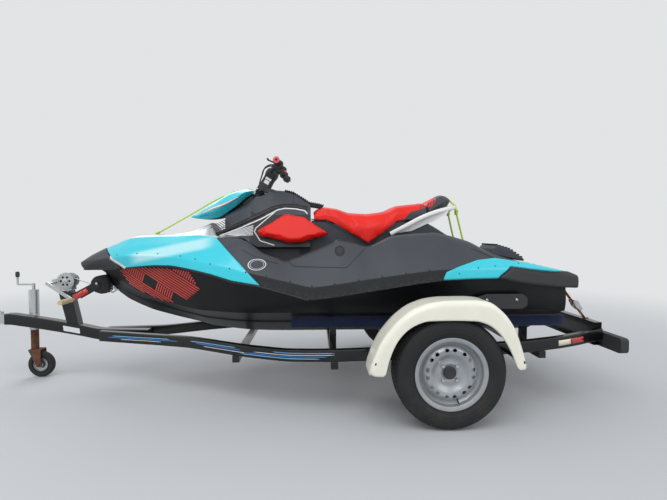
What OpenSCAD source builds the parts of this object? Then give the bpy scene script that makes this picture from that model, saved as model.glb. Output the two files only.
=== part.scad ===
// Personal watercraft resting on its single-axle road trailer.
// Millimetres. +X is forward (bow and tow coupler), +Y is port, +Z is up.
// The origin is on the ground, under the middle of the whole outfit.

/* [Outfit] */
// Overall length of the trailer, from coupler nose to tail light
overall_l = 3880; // [3800:10:4200]
// Distance from the rear end of the outfit to the wheel axle
tail_overhang = 1060; // [1020:10:1120]
// Height of the keel's lowest point above the ground
keel_h = 320; // [320:1:330]

/* [Watercraft] */
// Length of the watercraft over its bumpers
craft_l = 3100; // [3000:10:3150]
// Half beam at the widest point of the gunwale
half_beam = 585; // [570:1:600]
// Height of the chine above the keel in the straight run
chine_rise = 195; // [180:1:200]
// Height of the deck's skin at the footwell floors, above the bond line
floor_skin = 18; // [12:1:25]
// Thickness of the bow and quarter panels
panel_t = 9; // [6:1:12]
// Width of the seat at its widest
seat_w = 440; // [420:5:460]
// Diameter of the handlebar tube
bar_d = 22; // [20:1:25]
// Distance between the handlebar's grip ends
bar_w = 760; // [700:5:780]
// Length of one hand grip
grip_l = 118; // [100:1:130]
// Outer diameter of a hand grip
grip_d = 34; // [30:1:38]
// Lean of the steering column back from the vertical, in degrees
column_lean = 30; // [27:1:32]
// Length of the handlebar riser
riser_l = 128; // [115:1:140]

/* [Jet drive] */
// Inner diameter of the jet pump's wear ring
pump_bore = 140; // [130:1:150]
// Wall of the jet pump housing
pump_wall = 9; // [7:1:12]
// Length of the jet pump housing
pump_l = 210; // [180:5:240]
// Running gap round the impeller
impeller_gap = 1.2; // [0.8:0.1:2]
// Outlet diameter of the steering nozzle
nozzle_d = 84; // [76:1:90]
// Length of the steering nozzle
nozzle_l = 120; // [100:1:140]
// Diameter of the drive shaft
shaft_d = 26; // [22:1:30]

/* [Trailer frame] */
// Height of a side rail's section
rail_h = 65; // [55:1:75]
// Width of a side rail's section
rail_w = 45; // [38:1:50]
// Largest distance of a side rail's centre line from the middle
rail_y = 578; // [560:1:585]
// Side of the square drawbar
drawbar_a = 70; // [60:1:76]
// Height of a bunk at its outer side
bunk_h = 66; // [55:1:75]
// Width of a bunk
bunk_w = 52; // [45:1:60]
// Distance of a bunk's middle from the centre line
bunk_y = 330; // [315:1:345]
// Length of a bunk
bunk_l = 1640; // [1500:10:1700]
// Diameter of the hitch ball that the coupler takes
ball_d = 50; // [50:0.4:51]

/* [Wheels] */
// Outer diameter of a road tyre
tyre_d = 562; // [550:1:576]
// Section width of a road tyre
tyre_w = 165; // [155:1:175]
// Diameter of the rim over its flanges
rim_d = 365; // [360:1:368]
// Distance from the centre line to the middle of a road tyre
track_half = 772; // [766:1:784]
// Diameter of the wheel bolt circle
bolt_pcd = 98; // [95:1:105]
// Diameter of the jockey wheel
jockey_d = 172; // [160:1:180]
// Width of the jockey wheel
jockey_w = 50; // [44:1:56]
// Thickness of a mudguard's sheet
guard_t = 4; // [3:0.5:6]
// Gap between tyre tread and mudguard top
guard_gap = 75; // [66:1:90]

/* [Winch] */
// Diameter of the winch drum's core
drum_d = 44; // [38:1:50]
// Length of the crank arm between its centres
crank_l = 178; // [160:1:190]
// Width of a stern tie-down strap
strap_w = 36; // [25:1:40]

/* [Hidden] */
$fn = 64;
clear = 0.3;

// Every station below is measured from the wheel axle, forward positive.
axle_x = tail_overhang - overall_l / 2;
nose_x = overall_l - tail_overhang;
wheel_z = tyre_d / 2;
deadrise = chine_rise / cy(440);
pump_z = keel_h + 132;

function cx(x) = x * craft_l / 3100;
function cy(y) = y * half_beam / 585;
function cz(z) = z - 320 + keel_h;

// Lines of the watercraft: [station, half width, height]
keel = [[-795, 0, 320], [820, 0, 320], [962, 0, 322], [1112, 0, 329], [1335, 0, 360],
  [1434, 0, 388], [1577, 0, 424], [1735, 0, 469], [1890, 0, 542], [1990, 0, 625], [2035, 0, 700]];
chine = [[-795, 440, 515], [820, 440, 515], [962, 418, 510], [1112, 388, 508], [1335, 325, 515],
  [1434, 288, 527], [1577, 225, 552], [1735, 150, 588], [1890, 75, 636], [1990, 27, 684],
  [2035, 9, 720]];
bond = [[-914, 378, 655], [-860, 440, 655], [-795, 466, 656], [-700, 496, 665], [-541, 530, 685],
  [-345, 556, 720], [-33, 583, 712], [334, 584, 660], [682, 584, 612], [820, 574, 648],
  [962, 558, 685], [1112, 532, 708], [1235, 500, 742], [1360, 458, 768], [1480, 412, 786],
  [1577, 368, 786], [1690, 312, 777], [1790, 252, 766], [1905, 182, 752], [2000, 122, 743],
  [2100, 74, 736], [2180, 24, 732]];
crease = [[-914, 380, 692], [-860, 442, 706], [-795, 466, 722], [-700, 494, 742], [-541, 526, 764],
  [-345, 548, 775], [-33, 571, 770], [334, 571, 725], [682, 571, 677], [820, 562, 708],
  [962, 548, 740], [1112, 519, 772], [1235, 489, 798], [1360, 452, 820], [1480, 414, 839],
  [1577, 375, 842], [1690, 326, 841], [1790, 276, 836], [1905, 206, 824], [2000, 150, 806],
  [2100, 90, 782], [2180, 30, 757]];
shoulder = [[-914, 352, 702], [-860, 404, 724], [-795, 432, 744], [-700, 452, 768], [-541, 476, 800],
  [-345, 478, 832], [-229, 442, 905], [-33, 420, 962], [212, 425, 945], [334, 435, 898],
  [546, 441, 886], [682, 446, 852], [874, 450, 822], [962, 444, 850], [1060, 424, 905],
  [1112, 426, 908], [1235, 418, 884], [1360, 395, 888], [1480, 362, 894], [1577, 328, 896],
  [1690, 284, 892], [1790, 242, 882], [1905, 180, 860], [2000, 130, 838], [2100, 76, 806],
  [2180, 26, 770]];
rim = [[-914, 320, 704], [-860, 365, 727], [-795, 392, 748], [-700, 408, 772], [-541, 420, 804],
  [-345, 418, 838], [-229, 402, 924], [-33, 385, 975], [212, 392, 957], [334, 404, 904],
  [546, 411, 892], [682, 416, 857], [874, 420, 826], [962, 412, 856], [1060, 392, 926],
  [1112, 390, 934], [1235, 344, 944], [1360, 300, 952], [1480, 264, 946], [1577, 240, 944],
  [1690, 212, 940], [1790, 180, 934], [1905, 130, 896], [2000, 90, 862], [2100, 46, 820],
  [2180, 15, 774]];
crown = [[-914, 150, 708], [-860, 150, 732], [-795, 150, 754], [-541, 150, 812], [-345, 150, 850],
  [-229, 148, 930], [-100, 148, 1010], [-33, 148, 1046], [140, 150, 1052], [250, 150, 1022],
  [400, 150, 1020], [600, 150, 1050], [688, 150, 1052], [694, 195, 884], [1060, 200, 884],
  [1112, 205, 938], [1235, 150, 944], [1360, 150, 952], [1480, 130, 946], [1577, 120, 944],
  [1690, 105, 940], [1790, 90, 934], [1905, 60, 896], [2000, 40, 862], [2100, 20, 820],
  [2180, 6, 774]];

function at(x, line) = [
  cy(lookup(x, [for (p = line) [p[0], p[1]]])),
  cz(lookup(x, [for (p = line) [p[0], p[2]]]))];

// Section of the deck's outer shape, let out by t
function deck_half(x, t) = [
  at(x, bond) + [t, clear],
  at(x, crease) + [t, 0],
  at(x, shoulder) + [0.6 * t, 0.8 * t],
  at(x, rim) + [0.4 * t, 0.9 * t],
  at(x, crown) + [0, t]];
function both_sides(x, h) = concat(
  [for (p = h) [cx(x), p[0], p[1]]],
  [for (i = [len(h) - 1:-1:0]) [cx(x), -h[i][0], h[i][1]]]);
// Section of a skin over the deck's side: points a to b of the section, t thick
function skin_ring(x, a, b, t) = concat(
  [for (i = [a:b]) let (p = deck_half(x, t)[i]) [cx(x), p[0], p[1]]],
  [for (i = [b:-1:a]) let (p = deck_half(x, clear)[i]) [cx(x), p[0], p[1]]]);

deck_x = [-914, -860, -795, -700, -541, -345, -229, -100, -33, 140, 212, 250, 334, 400, 546, 600,
  682, 688, 694, 820, 874, 962, 1060, 1112, 1235, 1360, 1480, 1577, 1690, 1790, 1905, 2000];
bow_x = [900, 962, 1060, 1112, 1235, 1360, 1480, 1577, 1690, 1790, 1905, 2000];
nose_stations = [1790, 1905, 2000, 2100, 2180];
stern_x = [-860, -795, -700, -541, -345, -229, -100, -33, 40];

// Closed solid through rings of equal length, listed from stern to bow
module loft(rings) {
  n = len(rings[0]);
  m = len(rings);
  polyhedron(
    points = [for (r = rings, p = r) p],
    faces = concat(
      [[for (i = [0:n - 1]) i]],
      [[for (i = [n - 1:-1:0]) (m - 1) * n + i]],
      [for (j = [0:m - 2], i = [0:n - 1])
        let (a = j * n + i, b = j * n + (i + 1) % n, c = a + n, d = b + n)
        i < n / 2 ? [a, c, d] : [a, c, b]],
      [for (j = [0:m - 2], i = [0:n - 1])
        let (a = j * n + i, b = j * n + (i + 1) % n, c = a + n, d = b + n)
        i < n / 2 ? [a, d, b] : [b, c, d]]));
}
// Plate drawn in side view, between two widths
module side_plate(pts, y0, y1) {
  translate([0, y1, 0])
    rotate([90, 0, 0])
      linear_extrude(y1 - y0)
        polygon([for (p = pts) [cx(p[0]), cz(p[1])]]);
}
// The same, in plain trailer stations
module rail_plate(pts, y0, y1) {
  translate([0, y1, 0])
    rotate([90, 0, 0])
      linear_extrude(y1 - y0)
        polygon(pts);
}
module rod(a, b, d) {
  v = b - a;
  l = norm(v);
  translate(a)
    rotate([0, acos(v[2] / l), atan2(v[1], v[0])])
      cylinder(h = l, d = d);
}
// Rings of a tube bent along a path; ref is a direction the path never takes
function unit(v) = v / norm(v);
function tube_rings(pts, d, ref, n = 14) = [for (i = [0:len(pts) - 1])
  let (t = unit(pts[min(i + 1, len(pts) - 1)] - pts[max(i - 1, 0)]), u = unit(cross(t, ref)),
    v = cross(u, t))
  [for (k = [0:n - 1]) pts[i] + d / 2 * (cos(360 * k / n) * v + sin(360 * k / n) * u)]];
module mirrored() {
  children();
  mirror([0, 1, 0]) children();
}
module craft_color() color("#3a3d42") children();
module teal() color("#2fc4cf") children();
module black_plastic() color("#17181a") children();
module black_steel() color("#111214") children();
module galvanized() color("#b9bdc0") children();

/* ---------------------------------------------------------------- watercraft */
function hull_ring(x) =
  let (k = at(x, keel), c = at(x, chine), b = at(x, bond), w = max(b[0] - cy(38), c[0] + 6),
    m = [c[0] * 0.55 + w * 0.45 + 12, c[1] * 0.6 + b[1] * 0.4])
  [[cx(x), 0, k[1]], [cx(x), c[0], keel_h + (c[1] - keel_h) * chine_rise / 195],
   [cx(x), m[0], m[1]], [cx(x), w, b[1]],
   [cx(x), -w, b[1]], [cx(x), -m[0], m[1]],
   [cx(x), -c[0], keel_h + (c[1] - keel_h) * chine_rise / 195]];
hull_x = [-795, -700, -541, -345, -33, 334, 682, 820, 962, 1112, 1235, 1335, 1360, 1434, 1480,
  1577, 1690, 1735, 1790, 1890, 1905, 1990, 2000, 2035];
bay = [[60, -160, cz(430)], [700, 320, cz(868) - cz(430)]];
tunnel_x = -520;
tunnel_w = 250;
module lower_hull() {
  black_plastic()
  difference() {
    loft([for (x = hull_x) hull_ring(x)]);
    engine_bay();
    translate([cx(-860), -tunnel_w / 2, keel_h - 40])
      cube([cx(tunnel_x) - cx(-860), tunnel_w, pump_z + 106 - keel_h + 40]);
    translate([cx(-700), 0, pump_z])
      rotate([0, 90, 0])
        cylinder(h = cx(200) - cx(-700), d = shaft_d + 12);
    intake_duct();
    translate([cx(1895), 0, cz(eye_z)])
      rotate([0, 90, 0])
        cylinder(h = 300, d = eye_d + 2 * clear);
  }
}
module engine_bay() {
  translate([cx(bay[0][0]), bay[0][1], bay[0][2]])
    cube([cx(bay[1][0]), bay[1][1], bay[1][2]]);
}
module intake_duct() {
  hull() {
    translate([cx(tunnel_x) - 4, 0, pump_z])
      rotate([0, 90, 0])
        cylinder(h = 8, d = pump_bore, $fn = 32);
    translate([cx(-524), -62, keel_h - 30])
      cube([cx(374), 124, 10]);
  }
}
module deck() {
  craft_color()
  difference() {
    intersection() {
      loft([for (x = deck_x) both_sides(x, deck_half(x, 0))]);
      side_plate([[-1000, 500], [1844, 500], [1844, 757], [1903, 822], [1996, 884], [1996, 1300],
        [-1000, 1300]], -700, 700);
    }
    mirrored() footwell();
    engine_bay();
  }
}
// Room cut out for the rider's feet, left side
function well_ring(x) =
  let (r = at(x, rim), f = max(at(x, bond)[1] + floor_skin, cz(520)))
  [[cx(x), 190, f], [cx(x), r[0] - 45, f], [cx(x), r[0] - 6, r[1]], [cx(x), r[0] - 6, cz(1200)],
   [cx(x), 180, cz(1200)]];
module footwell() {
  loft([for (x = [-330, -229, -33, 212, 334, 546, 682, 874, 962, 1030]) well_ring(x)]);
}
module nose_bumper() {
  color("#2b2d31")
  intersection() {
    loft([for (x = nose_stations) both_sides(x, deck_half(x, panel_t + 2))]);
    side_plate([[1844, 600], [1844, 757], [1903, 822], [1996, 884], [1996, 1300], [2400, 1300],
      [2400, 600]] + [for (i = [0:6]) [0.6, 0]], -700, 700);
  }
}
module bow_panel() {
  teal()
  intersection() {
    loft([for (x = bow_x) skin_ring(x, 0, 3, panel_t)]);
    side_plate([[1788, 755], [1790, 766], [1900, 826], [1994, 884], [1990, 1000], [1262, 1000],
      [1254, 952], [1180, 892], [1080, 800], [966, 690], [960, 655], [1100, 690], [1500, 700]],
      0, 700);
  }
}
module bow_panel_left() bow_panel();
module bow_panel_right() mirror([0, 1, 0]) bow_panel();

ridge = [[1180, 0, 1000], [1240, 0, 1030], [1316, 0, 1040], [1380, 0, 1016], [1480, 0, 985],
  [1577, 0, 968], [1690, 0, 962], [1790, 0, 962], [1905, 0, 926], [1970, 0, 896]];
function hood_ring(x) =
  let (q = at(x, rim), k = at(x, ridge)[1], w = q[0] - 5)
  [[cx(x), w, q[1] + 2 * clear],
   [cx(x), w, q[1] + 8], [cx(x), w * 0.62, q[1] + 8 + (k - q[1] - 8) * 0.62],
   [cx(x), w * 0.22, k],
   [cx(x), -w * 0.22, k], [cx(x), -w * 0.62, q[1] + 8 + (k - q[1] - 8) * 0.62],
   [cx(x), -w, q[1] + 8], [cx(x), -w, q[1] + 2 * clear]];
module hood() {
  color("#d9dcde")
  loft([for (x = [1235, 1316, 1360, 1380, 1480, 1577, 1690, 1790, 1905, 1970]) hood_ring(x)]);
}

// Pod over the bow: [station, half width, underside, side crease, top]
pod = [[1066, 128, 1205, 1228, 1244], [1100, 146, 1180, 1218, 1258], [1200, 160, 1118, 1170, 1238],
  [1304, 140, 1066, 1130, 1190], [1364, 112, 1062, 1112, 1157], [1430, 62, 1066, 1092, 1112],
  [1474, 14, 1074, 1080, 1084]];
function pod_ring(p) = [
  [cx(p[0]), p[1] * 0.62, cz(p[2])], [cx(p[0]), p[1], cz(p[3])], [cx(p[0]), p[1] * 0.66, cz(p[4] - 12)],
  [cx(p[0]), p[1] * 0.2, cz(p[4])], [cx(p[0]), -p[1] * 0.2, cz(p[4])],
  [cx(p[0]), -p[1] * 0.66, cz(p[4] - 12)], [cx(p[0]), -p[1], cz(p[3])],
  [cx(p[0]), -p[1] * 0.62, cz(p[2])]];
module cowl() {
  teal()
  difference() {
    loft([for (p = pod) pod_ring(p)]);
    on_column() cylinder(h = 260, d = column_d + 8, center = true);
  }
}

// Console under the steering: [station, top half width, top, base half width, base]
saddle = [[694, 90, 1168, 230, 887], [731, 92, 1189, 232, 887], [806, 94, 1234, 234, 887],
  [859, 98, 1245, 234, 887], [942, 104, 1251, 234, 887], [1006, 110, 1216, 232, 887],
  [1052, 112, 1206, 226, 905], [1112, 96, 1171, 204, 941], [1228, 88, 1101, 150, 956]];
function saddle_ring(p) =
  let (h = p[2] - p[4], s = min(0.8, 220 / h), y = p[3] - (p[3] - 152) * 0.98)
  [[cx(p[0]), p[3], cz(p[4])], [cx(p[0]), max(y, p[1] + 6), cz(p[4] + s * h)],
   [cx(p[0]), p[1], cz(p[2] - 12)], [cx(p[0]), p[1] * 0.5, cz(p[2])],
   [cx(p[0]), -p[1] * 0.5, cz(p[2])], [cx(p[0]), -p[1], cz(p[2] - 12)],
   [cx(p[0]), -max(y, p[1] + 6), cz(p[4] + s * h)], [cx(p[0]), -p[3], cz(p[4])]];
column_x = 1024;
column_z = 1233;
column_d = 64;
steer_d = 28;
module on_column() {
  translate([cx(column_x), 0, cz(column_z)])
    rotate([0, -column_lean, 0])
      children();
}
module console() {
  craft_color()
  difference() {
    union() {
      loft([for (p = saddle) saddle_ring(p)]);
      side_plate([[700, 1150], [700, 1168], [640, 1160], [612, 1152], [612, 1146], [640, 1146]],
        -78, 78);
    }
    on_column() translate([0, 0, -56]) cylinder(h = 200, d = column_d + 2 * clear);
  }
}
module steering_column() {
  black_plastic()
  on_column()
    difference() {
      translate([0, 0, -55]) cylinder(h = 70, d = column_d);
      translate([0, 0, -49]) cylinder(h = 200, d = steer_d + 2 * clear);
    }
}
// Pad outline in side view, and the slope of the face it lies on
pad = [[1027, 984], [940, 1040], [854, 1098], [724, 1076], [620, 1001], [566, 960], [640, 926],
  [748, 895], [830, 893], [995, 937], [1024, 960]];
pad_tilt = atan(80 / 220);
module knee_pad() {
  color("#e2352b")
  translate([0, 234 + 6 * clear, cz(887)])
    rotate([pad_tilt, 0, 0])
      hull() {
        rotate([90, 0, 0]) translate([0, 0, -24]) linear_extrude(24) pad_shape(0);
        rotate([90, 0, 0]) translate([0, 0, -44]) linear_extrude(44) pad_shape(16);
      }
}
module pad_shape(inset) {
  polygon([for (p = pad)
    let (x = p[0] + (790 - p[0]) * inset / 200, z = p[1] + (995 - p[1]) * inset / 100)
    [cx(x), (z - 887) / cos(pad_tilt)]]);
}
module knee_pad_left() knee_pad();
module knee_pad_right() mirror([0, 1, 0]) knee_pad();

// Seat: [station, share of half width, lower edge] and [station, top]
bench_edge = [[-58, 0.80, 1042], [0, 0.84, 1049], [36, 0.86, 1050], [99, 0.89, 1051],
  [140, 0.91, 1040], [203, 0.95, 980], [243, 0.97, 952], [334, 1, 895], [450, 0.96, 958],
  [523, 0.92, 1006], [600, 0.87, 1050], [688, 0.83, 1053]];
bench_top = [[-58, 1172], [0, 1158], [36, 1155], [99, 1148], [140, 1143], [203, 1112], [243, 1102],
  [334, 1091], [450, 1098], [523, 1124], [600, 1135], [688, 1116]];
bench_x = [-58, -33, 0, 36, 99, 140, 203, 243, 250, 334, 400, 450, 523, 600, 640, 688];
function bench_ring(p) =
  let (e = [for (k = [1, 2]) lookup(p, [for (q = bench_edge) [q[0], q[k]]])],
    w = e[0] * seat_w / 2, c = at(p, crown), t = cz(lookup(p, bench_top)),
    l = min(cz(e[1]), c[1] - 2), x = cx(p), u = min(c[0] + 37, w - 6),
    i = min(max(c[0] + 40, w - 24), w - 3))
  [[x, w, l], [x, w - 2, (l + t) / 2], [x, w * 0.80, t - 16], [x, w * 0.4, t],
   [x, -w * 0.4, t], [x, -w * 0.80, t - 16], [x, 2 - w, (l + t) / 2], [x, -w, l],
   [x, -i, l], [x, -u, c[1] + clear], [x, u, c[1] + clear], [x, i, l]];
module seat() {
  color("#e2352b")
  loft([for (x = bench_x) bench_ring(x)]);
}
tail_line = [[-252, 1178, 108, 1194], [-225, 1156, 130, 1213], [-182, 1130, 150, 1223],
  [-120, 1088, 165, 1194], [-58.5, 1041, 176, 1172]];
module seat_tail() {
  color("#45484d")
  loft([for (p = tail_line) let (x = cx(p[0]), w = p[2] * seat_w / 440)
    [[x, w * 0.8, cz(p[1])], [x, w, cz(p[1] * 0.5 + p[3] * 0.5)], [x, w * 0.7, cz(p[3] - 8)],
     [x, w * 0.3, cz(p[3])], [x, -w * 0.3, cz(p[3])], [x, -w * 0.7, cz(p[3] - 8)],
     [x, -w, cz(p[1] * 0.5 + p[3] * 0.5)], [x, -w * 0.8, cz(p[1])]]]);
}
handle_d = 32;
handle = [[192, 201.4, 968], [83, 216, 1034], [-71, 208, 1094], [-170, 188, 1124], [-228, 156, 1136],
  [-262, 110, 1141], [-275, 55, 1143]];
module grab_handle() {
  color("#e9eaea") {
    loft(tube_rings([for (p = concat(handle, [for (i = [len(handle) - 1:-1:0])
      [handle[i][0], -handle[i][1], handle[i][2]]])) [cx(p[0]), p[1], cz(p[2])]],
      handle_d, [0, 0, 1]));
    side_plate([[-60, 1041], [-62, 1043.4], [-120, 1087.4], [-182, 1129.4], [-225, 1155.2],
      [-280, 1156], [-280, 1144], [-225, 1146], [-182, 1119], [-120, 1078], [-72, 1040]], -116, 116);
    side_plate([[-62, 1042], [-120, 1086], [-182, 1128], [-190, 1120], [-120, 1072], [-82, 1040]],
      -205, 205);
  }
}
module quarter_panel() {
  teal()
  intersection() {
    loft([for (x = stern_x) skin_ring(x, 0, 2, panel_t)]);
    side_plate([[-33, 700], [-33, 719], [-52, 756], [-240, 816], [-345, 826], [-541, 796],
      [-700, 762], [-788, 742], [-425, 779], [-352, 729], [-347, 700]], 0, 700);
  }
}
module quarter_panel_left() quarter_panel();
module quarter_panel_right() mirror([0, 1, 0]) quarter_panel();
module rear_bumper() {
  black_plastic()
  intersection() {
    loft([for (x = stern_x) skin_ring(x, 0, 2, panel_t * 2)]);
    side_plate([[-355.5, 700], [-355.5, 727], [-427, 776.5], [-800, 738], [-858, 713], [-858, 600],
      [-541, 600]], 0, 700);
  }
}
module rear_bumper_left() rear_bumper();
module rear_bumper_right() mirror([0, 1, 0]) rear_bumper();
module foot_wedges() {
  black_plastic()
  mirrored()
    side_plate([[-379, 844.4], [-389, 878], [-410, 902], [-493, 876], [-570, 822], [-576, 805.4],
      [-541, 812.4], [-440, 832]], 151, 392);
}
module sponsons() {
  black_plastic()
  mirrored()
    side_plate([[-236, 562], [-236, 608], [-300, 629], [-505, 629], [-534, 606], [-534, 562],
      [-505, 543], [-270, 543]], cy(499.6) + clear, cy(499.6) + 22);
}

// Handlebar, turning on the leaning column
clamp_s = riser_l + 22;
grip_x = -12;
grip_z = 58;
module handlebar() {
  color("#1c1d20") {
    on_column() {
      translate([0, 0, -46]) cylinder(h = clamp_s + 46, d = steer_d);
      translate([0, 0, 22]) cylinder(h = riser_l, d1 = 66, d2 = 58);
      translate([-30, -62, clamp_s - 8]) cube([60, 124, 34]);
      mirrored() {
        rod([grip_x, bar_w / 2 - grip_l - 52, clamp_s + grip_z], [grip_x, bar_w / 2 - 4,
          clamp_s + grip_z], bar_d);
        loft(tube_rings([[0, 36, clamp_s + 8], [0, 76, clamp_s + 14], [grip_x, 150, clamp_s + 46],
          [grip_x, bar_w / 2 - grip_l - 72, clamp_s + grip_z],
          [grip_x, bar_w / 2 - grip_l - 40, clamp_s + grip_z]], bar_d + 4, [1, 0, 0], 12));
      }
    }
  }
}
module hand_grips() {
  color("#1a1a1b")
  on_column()
    mirrored()
      translate([grip_x, bar_w / 2 - grip_l, clamp_s + grip_z])
        rotate([-90, 0, 0])
          difference() {
            cylinder(h = grip_l, d = grip_d);
            translate([0, 0, -1]) cylinder(h = grip_l - 3, d = bar_d + 2 * clear);
          }
}
module control_levers() {
  black_plastic()
  on_column()
    mirrored()
      translate([grip_x, 0, clamp_s + grip_z]) {
        difference() {
          union() {
            translate([0, bar_w / 2 - grip_l - 34, 0])
              rotate([-90, 0, 0]) cylinder(h = 32, d = 44);
            translate([-52, bar_w / 2 - grip_l - 34, -26]) cube([40, 32, 30]);
            rod([16, bar_w / 2 - grip_l - 18, -6], [46, bar_w / 2 - grip_l + 4, -14], 12);
            rod([46, bar_w / 2 - grip_l + 4, -14], [42, bar_w / 2 - 30, -16], 11);
          }
          translate([0, bar_w / 2 - grip_l - 40, 0])
            rotate([-90, 0, 0]) cylinder(h = 44, d = bar_d + 2 * clear);
        }
      }
}

/* ------------------------------------------------------------------ jet drive */
engine_x = 80;
engine_l = 540;
module engine() {
  color("#6b6f73")
  translate([cx(engine_x), -148, cz(430) + clear])
    cube([engine_l, 296, 400]);
}
pump_front = cx(tunnel_x) - clear;
pump_od = pump_bore + 2 * pump_wall;
exit_d = nozzle_d + 12;
venturi_l = 61;
hinge_x = pump_front - pump_l - 39;
module jet_pump() {
  color("#8d9195")
  translate([pump_front, 0, pump_z])
    rotate([0, -90, 0])
      difference() {
        union() {
          cylinder(h = 8, d = pump_od + 50);
          cylinder(h = pump_l, d = pump_od);
          translate([0, 0, pump_l]) cylinder(h = venturi_l, d1 = pump_od, d2 = exit_d);
          translate([0, 0, pump_l + 39])
            rotate([90, 0, 0]) translate([0, 0, -108]) cylinder(h = 216, d = 26);
          translate([0, 0, pump_l + 39])
            rotate([90, 0, 0]) translate([0, 0, -121]) cylinder(h = 242, d = 12);
          for (s = [-1, 1])
            translate([s * (exit_d / 2 + 18) - 4, -20, pump_l - 20]) cube([8, 40, venturi_l + 82]);
          for (s = [-1, 1])
            translate([s * (exit_d / 2 + 10) - 12, -20, pump_l - 20]) cube([24, 40, 50]);
        }
        translate([0, 0, -1]) cylinder(h = pump_l + 1, d = pump_bore);
        translate([0, 0, pump_l - 0.01]) cylinder(h = venturi_l + 40, d1 = pump_bore, d2 = nozzle_d);
        for (s = [-1, 1])
          translate([s * (exit_d / 2 + 6), 0, pump_l + venturi_l + 43])
            rotate([0, s * 90, 0]) cylinder(h = 30, d = 10 + 2 * clear);
      }
  color("#8d9195")
  translate([pump_front - pump_l + 60, 0, pump_z])
    rotate([0, -90, 0])
      difference() {
        union() {
          cylinder(h = 50, d = 62);
          for (a = [45:90:315])
            rotate([0, 0, a]) translate([28, -4, 5]) cube([pump_bore / 2 - 26, 8, 40]);
        }
        translate([0, 0, -1]) cylinder(h = 42, d = shaft_d + 2 * clear);
      }
}
imp_l = 80;
imp_x = pump_front - 30;
module impeller() {
  color("#c9ccce") {
    translate([imp_x - imp_l, 0, pump_z])
      rotate([0, 90, 0]) cylinder(h = imp_l, d = 60);
    translate([pump_front - pump_l + 22, 0, pump_z])
      rotate([0, 90, 0])
        cylinder(h = cx(engine_x) - clear - pump_front + pump_l - 22, d = shaft_d);
    intersection() {
      translate([imp_x - imp_l, 0, pump_z])
        rotate([0, 90, 0])
          cylinder(h = imp_l, d = pump_bore - 2 * impeller_gap);
      for (a = [0:90:270])
        translate([imp_x - imp_l + 40, 0, pump_z])
          rotate([a, 0, 0])
            rotate([0, 0, 38])
              translate([-46, -3, 20]) cube([92, 6, pump_bore / 2]);
    }
  }
}
pivot_x = pump_front - pump_l - venturi_l - 43;
module steering_nozzle() {
  color("#7c8084")
  translate([pivot_x, 0, pump_z])
    rotate([0, -90, 0])
      difference() {
        union() {
          translate([0, 0, -22]) cylinder(h = nozzle_l - 10, d = nozzle_d + 14);
          for (s = [-1, 1])
            translate([s * (nozzle_d / 2 + 3), 0, 0])
              rotate([0, s * 90, 0]) cylinder(h = 14, d = 26);
          for (s = [-1, 1])
            translate([s * (nozzle_d / 2 + 3), 0, 0])
              rotate([0, s * 90, 0]) cylinder(h = 25.5, d = 10);
        }
        translate([0, 0, -30]) cylinder(h = nozzle_l + 20, d = nozzle_d);
      }
}
gate_r = 172;
module reverse_gate() {
  color("#54585c")
  translate([hinge_x, 0, pump_z])
    rotate([0, 50, 0])
      difference() {
        union() {
          rotate([90, 0, 0])
            translate([0, 0, -119])
              intersection() {
                difference() {
                  cylinder(h = 238, r = gate_r + 6);
                  translate([0, 0, -1]) cylinder(h = 240, r = gate_r);
                }
                linear_extrude(240)
                  polygon([[-50, 0], [-170, -78], [-230, -106], [-230, 106], [-170, 78]]);
              }
          mirrored()
            translate([0, 119, 0])
              rotate([90, 0, 0])
                linear_extrude(6)
                  polygon([[16, -14], [16, 14], [-20, 20], [-136, 36], [-158, 76], [-176, 20],
                    [-176, -20], [-158, -76], [-136, -36], [-20, -20]]);
        }
        rotate([90, 0, 0]) translate([0, 0, -125]) cylinder(h = 250, d = 12 + 2 * clear);
      }
}
module ride_plate() {
  color("#2a2c2f") {
    translate([cx(-788), 0, keel_h])
      rotate([90, 0, 90])
        linear_extrude(cx(tunnel_x) - 8 - cx(-788))
          polygon([[-124, 124 * deadrise], [0, 0], [124, 124 * deadrise], [124, 124 * deadrise + 10],
            [0, 12], [-124, 124 * deadrise + 10]]);
    for (y = [-36, -12, 12, 36])
      translate([cx(tunnel_x) - 20, y - 3, keel_h + 18]) cube([cx(-234) - cx(tunnel_x), 6, 10]);
    translate([cx(tunnel_x) - 20, -70, keel_h + 10]) cube([14, 140, 18]);
  }
}
eye_z = 600;
eye_d = 12;
module bow_eye() {
  galvanized() {
    translate([cx(1996), 0, cz(eye_z)])
      rotate([90, 0, 0])
        rotate_extrude()
          translate([17, 0]) circle(d = 9);
    translate([cx(1900), 0, cz(eye_z)])
      rotate([0, 90, 0]) cylinder(h = cx(1996) - 15 - cx(1900), d = eye_d);
  }
}

/* -------------------------------------------------------------------- trailer */
rail_line = [[-1004, 452, 385], [-844, 498, 367], [-705, 528, 355], [-472, 560, 341], [-100, 578, 325],
  [385, 578, 314], [547, 572, 308], [815, 530, 301], [1050, 440, 302], [1430, 248, 309],
  [1700, 138, 303], [2050, 58, 310]];
function rail_ring(p) =
  let (y = p[1] * rail_y / 578, w = rail_w / 2, h = rail_h / 2)
  [[p[0], y + w, p[2] - h], [p[0], y + w, p[2] + h], [p[0], y - w, p[2] + h], [p[0], y - w, p[2] - h]];
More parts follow.
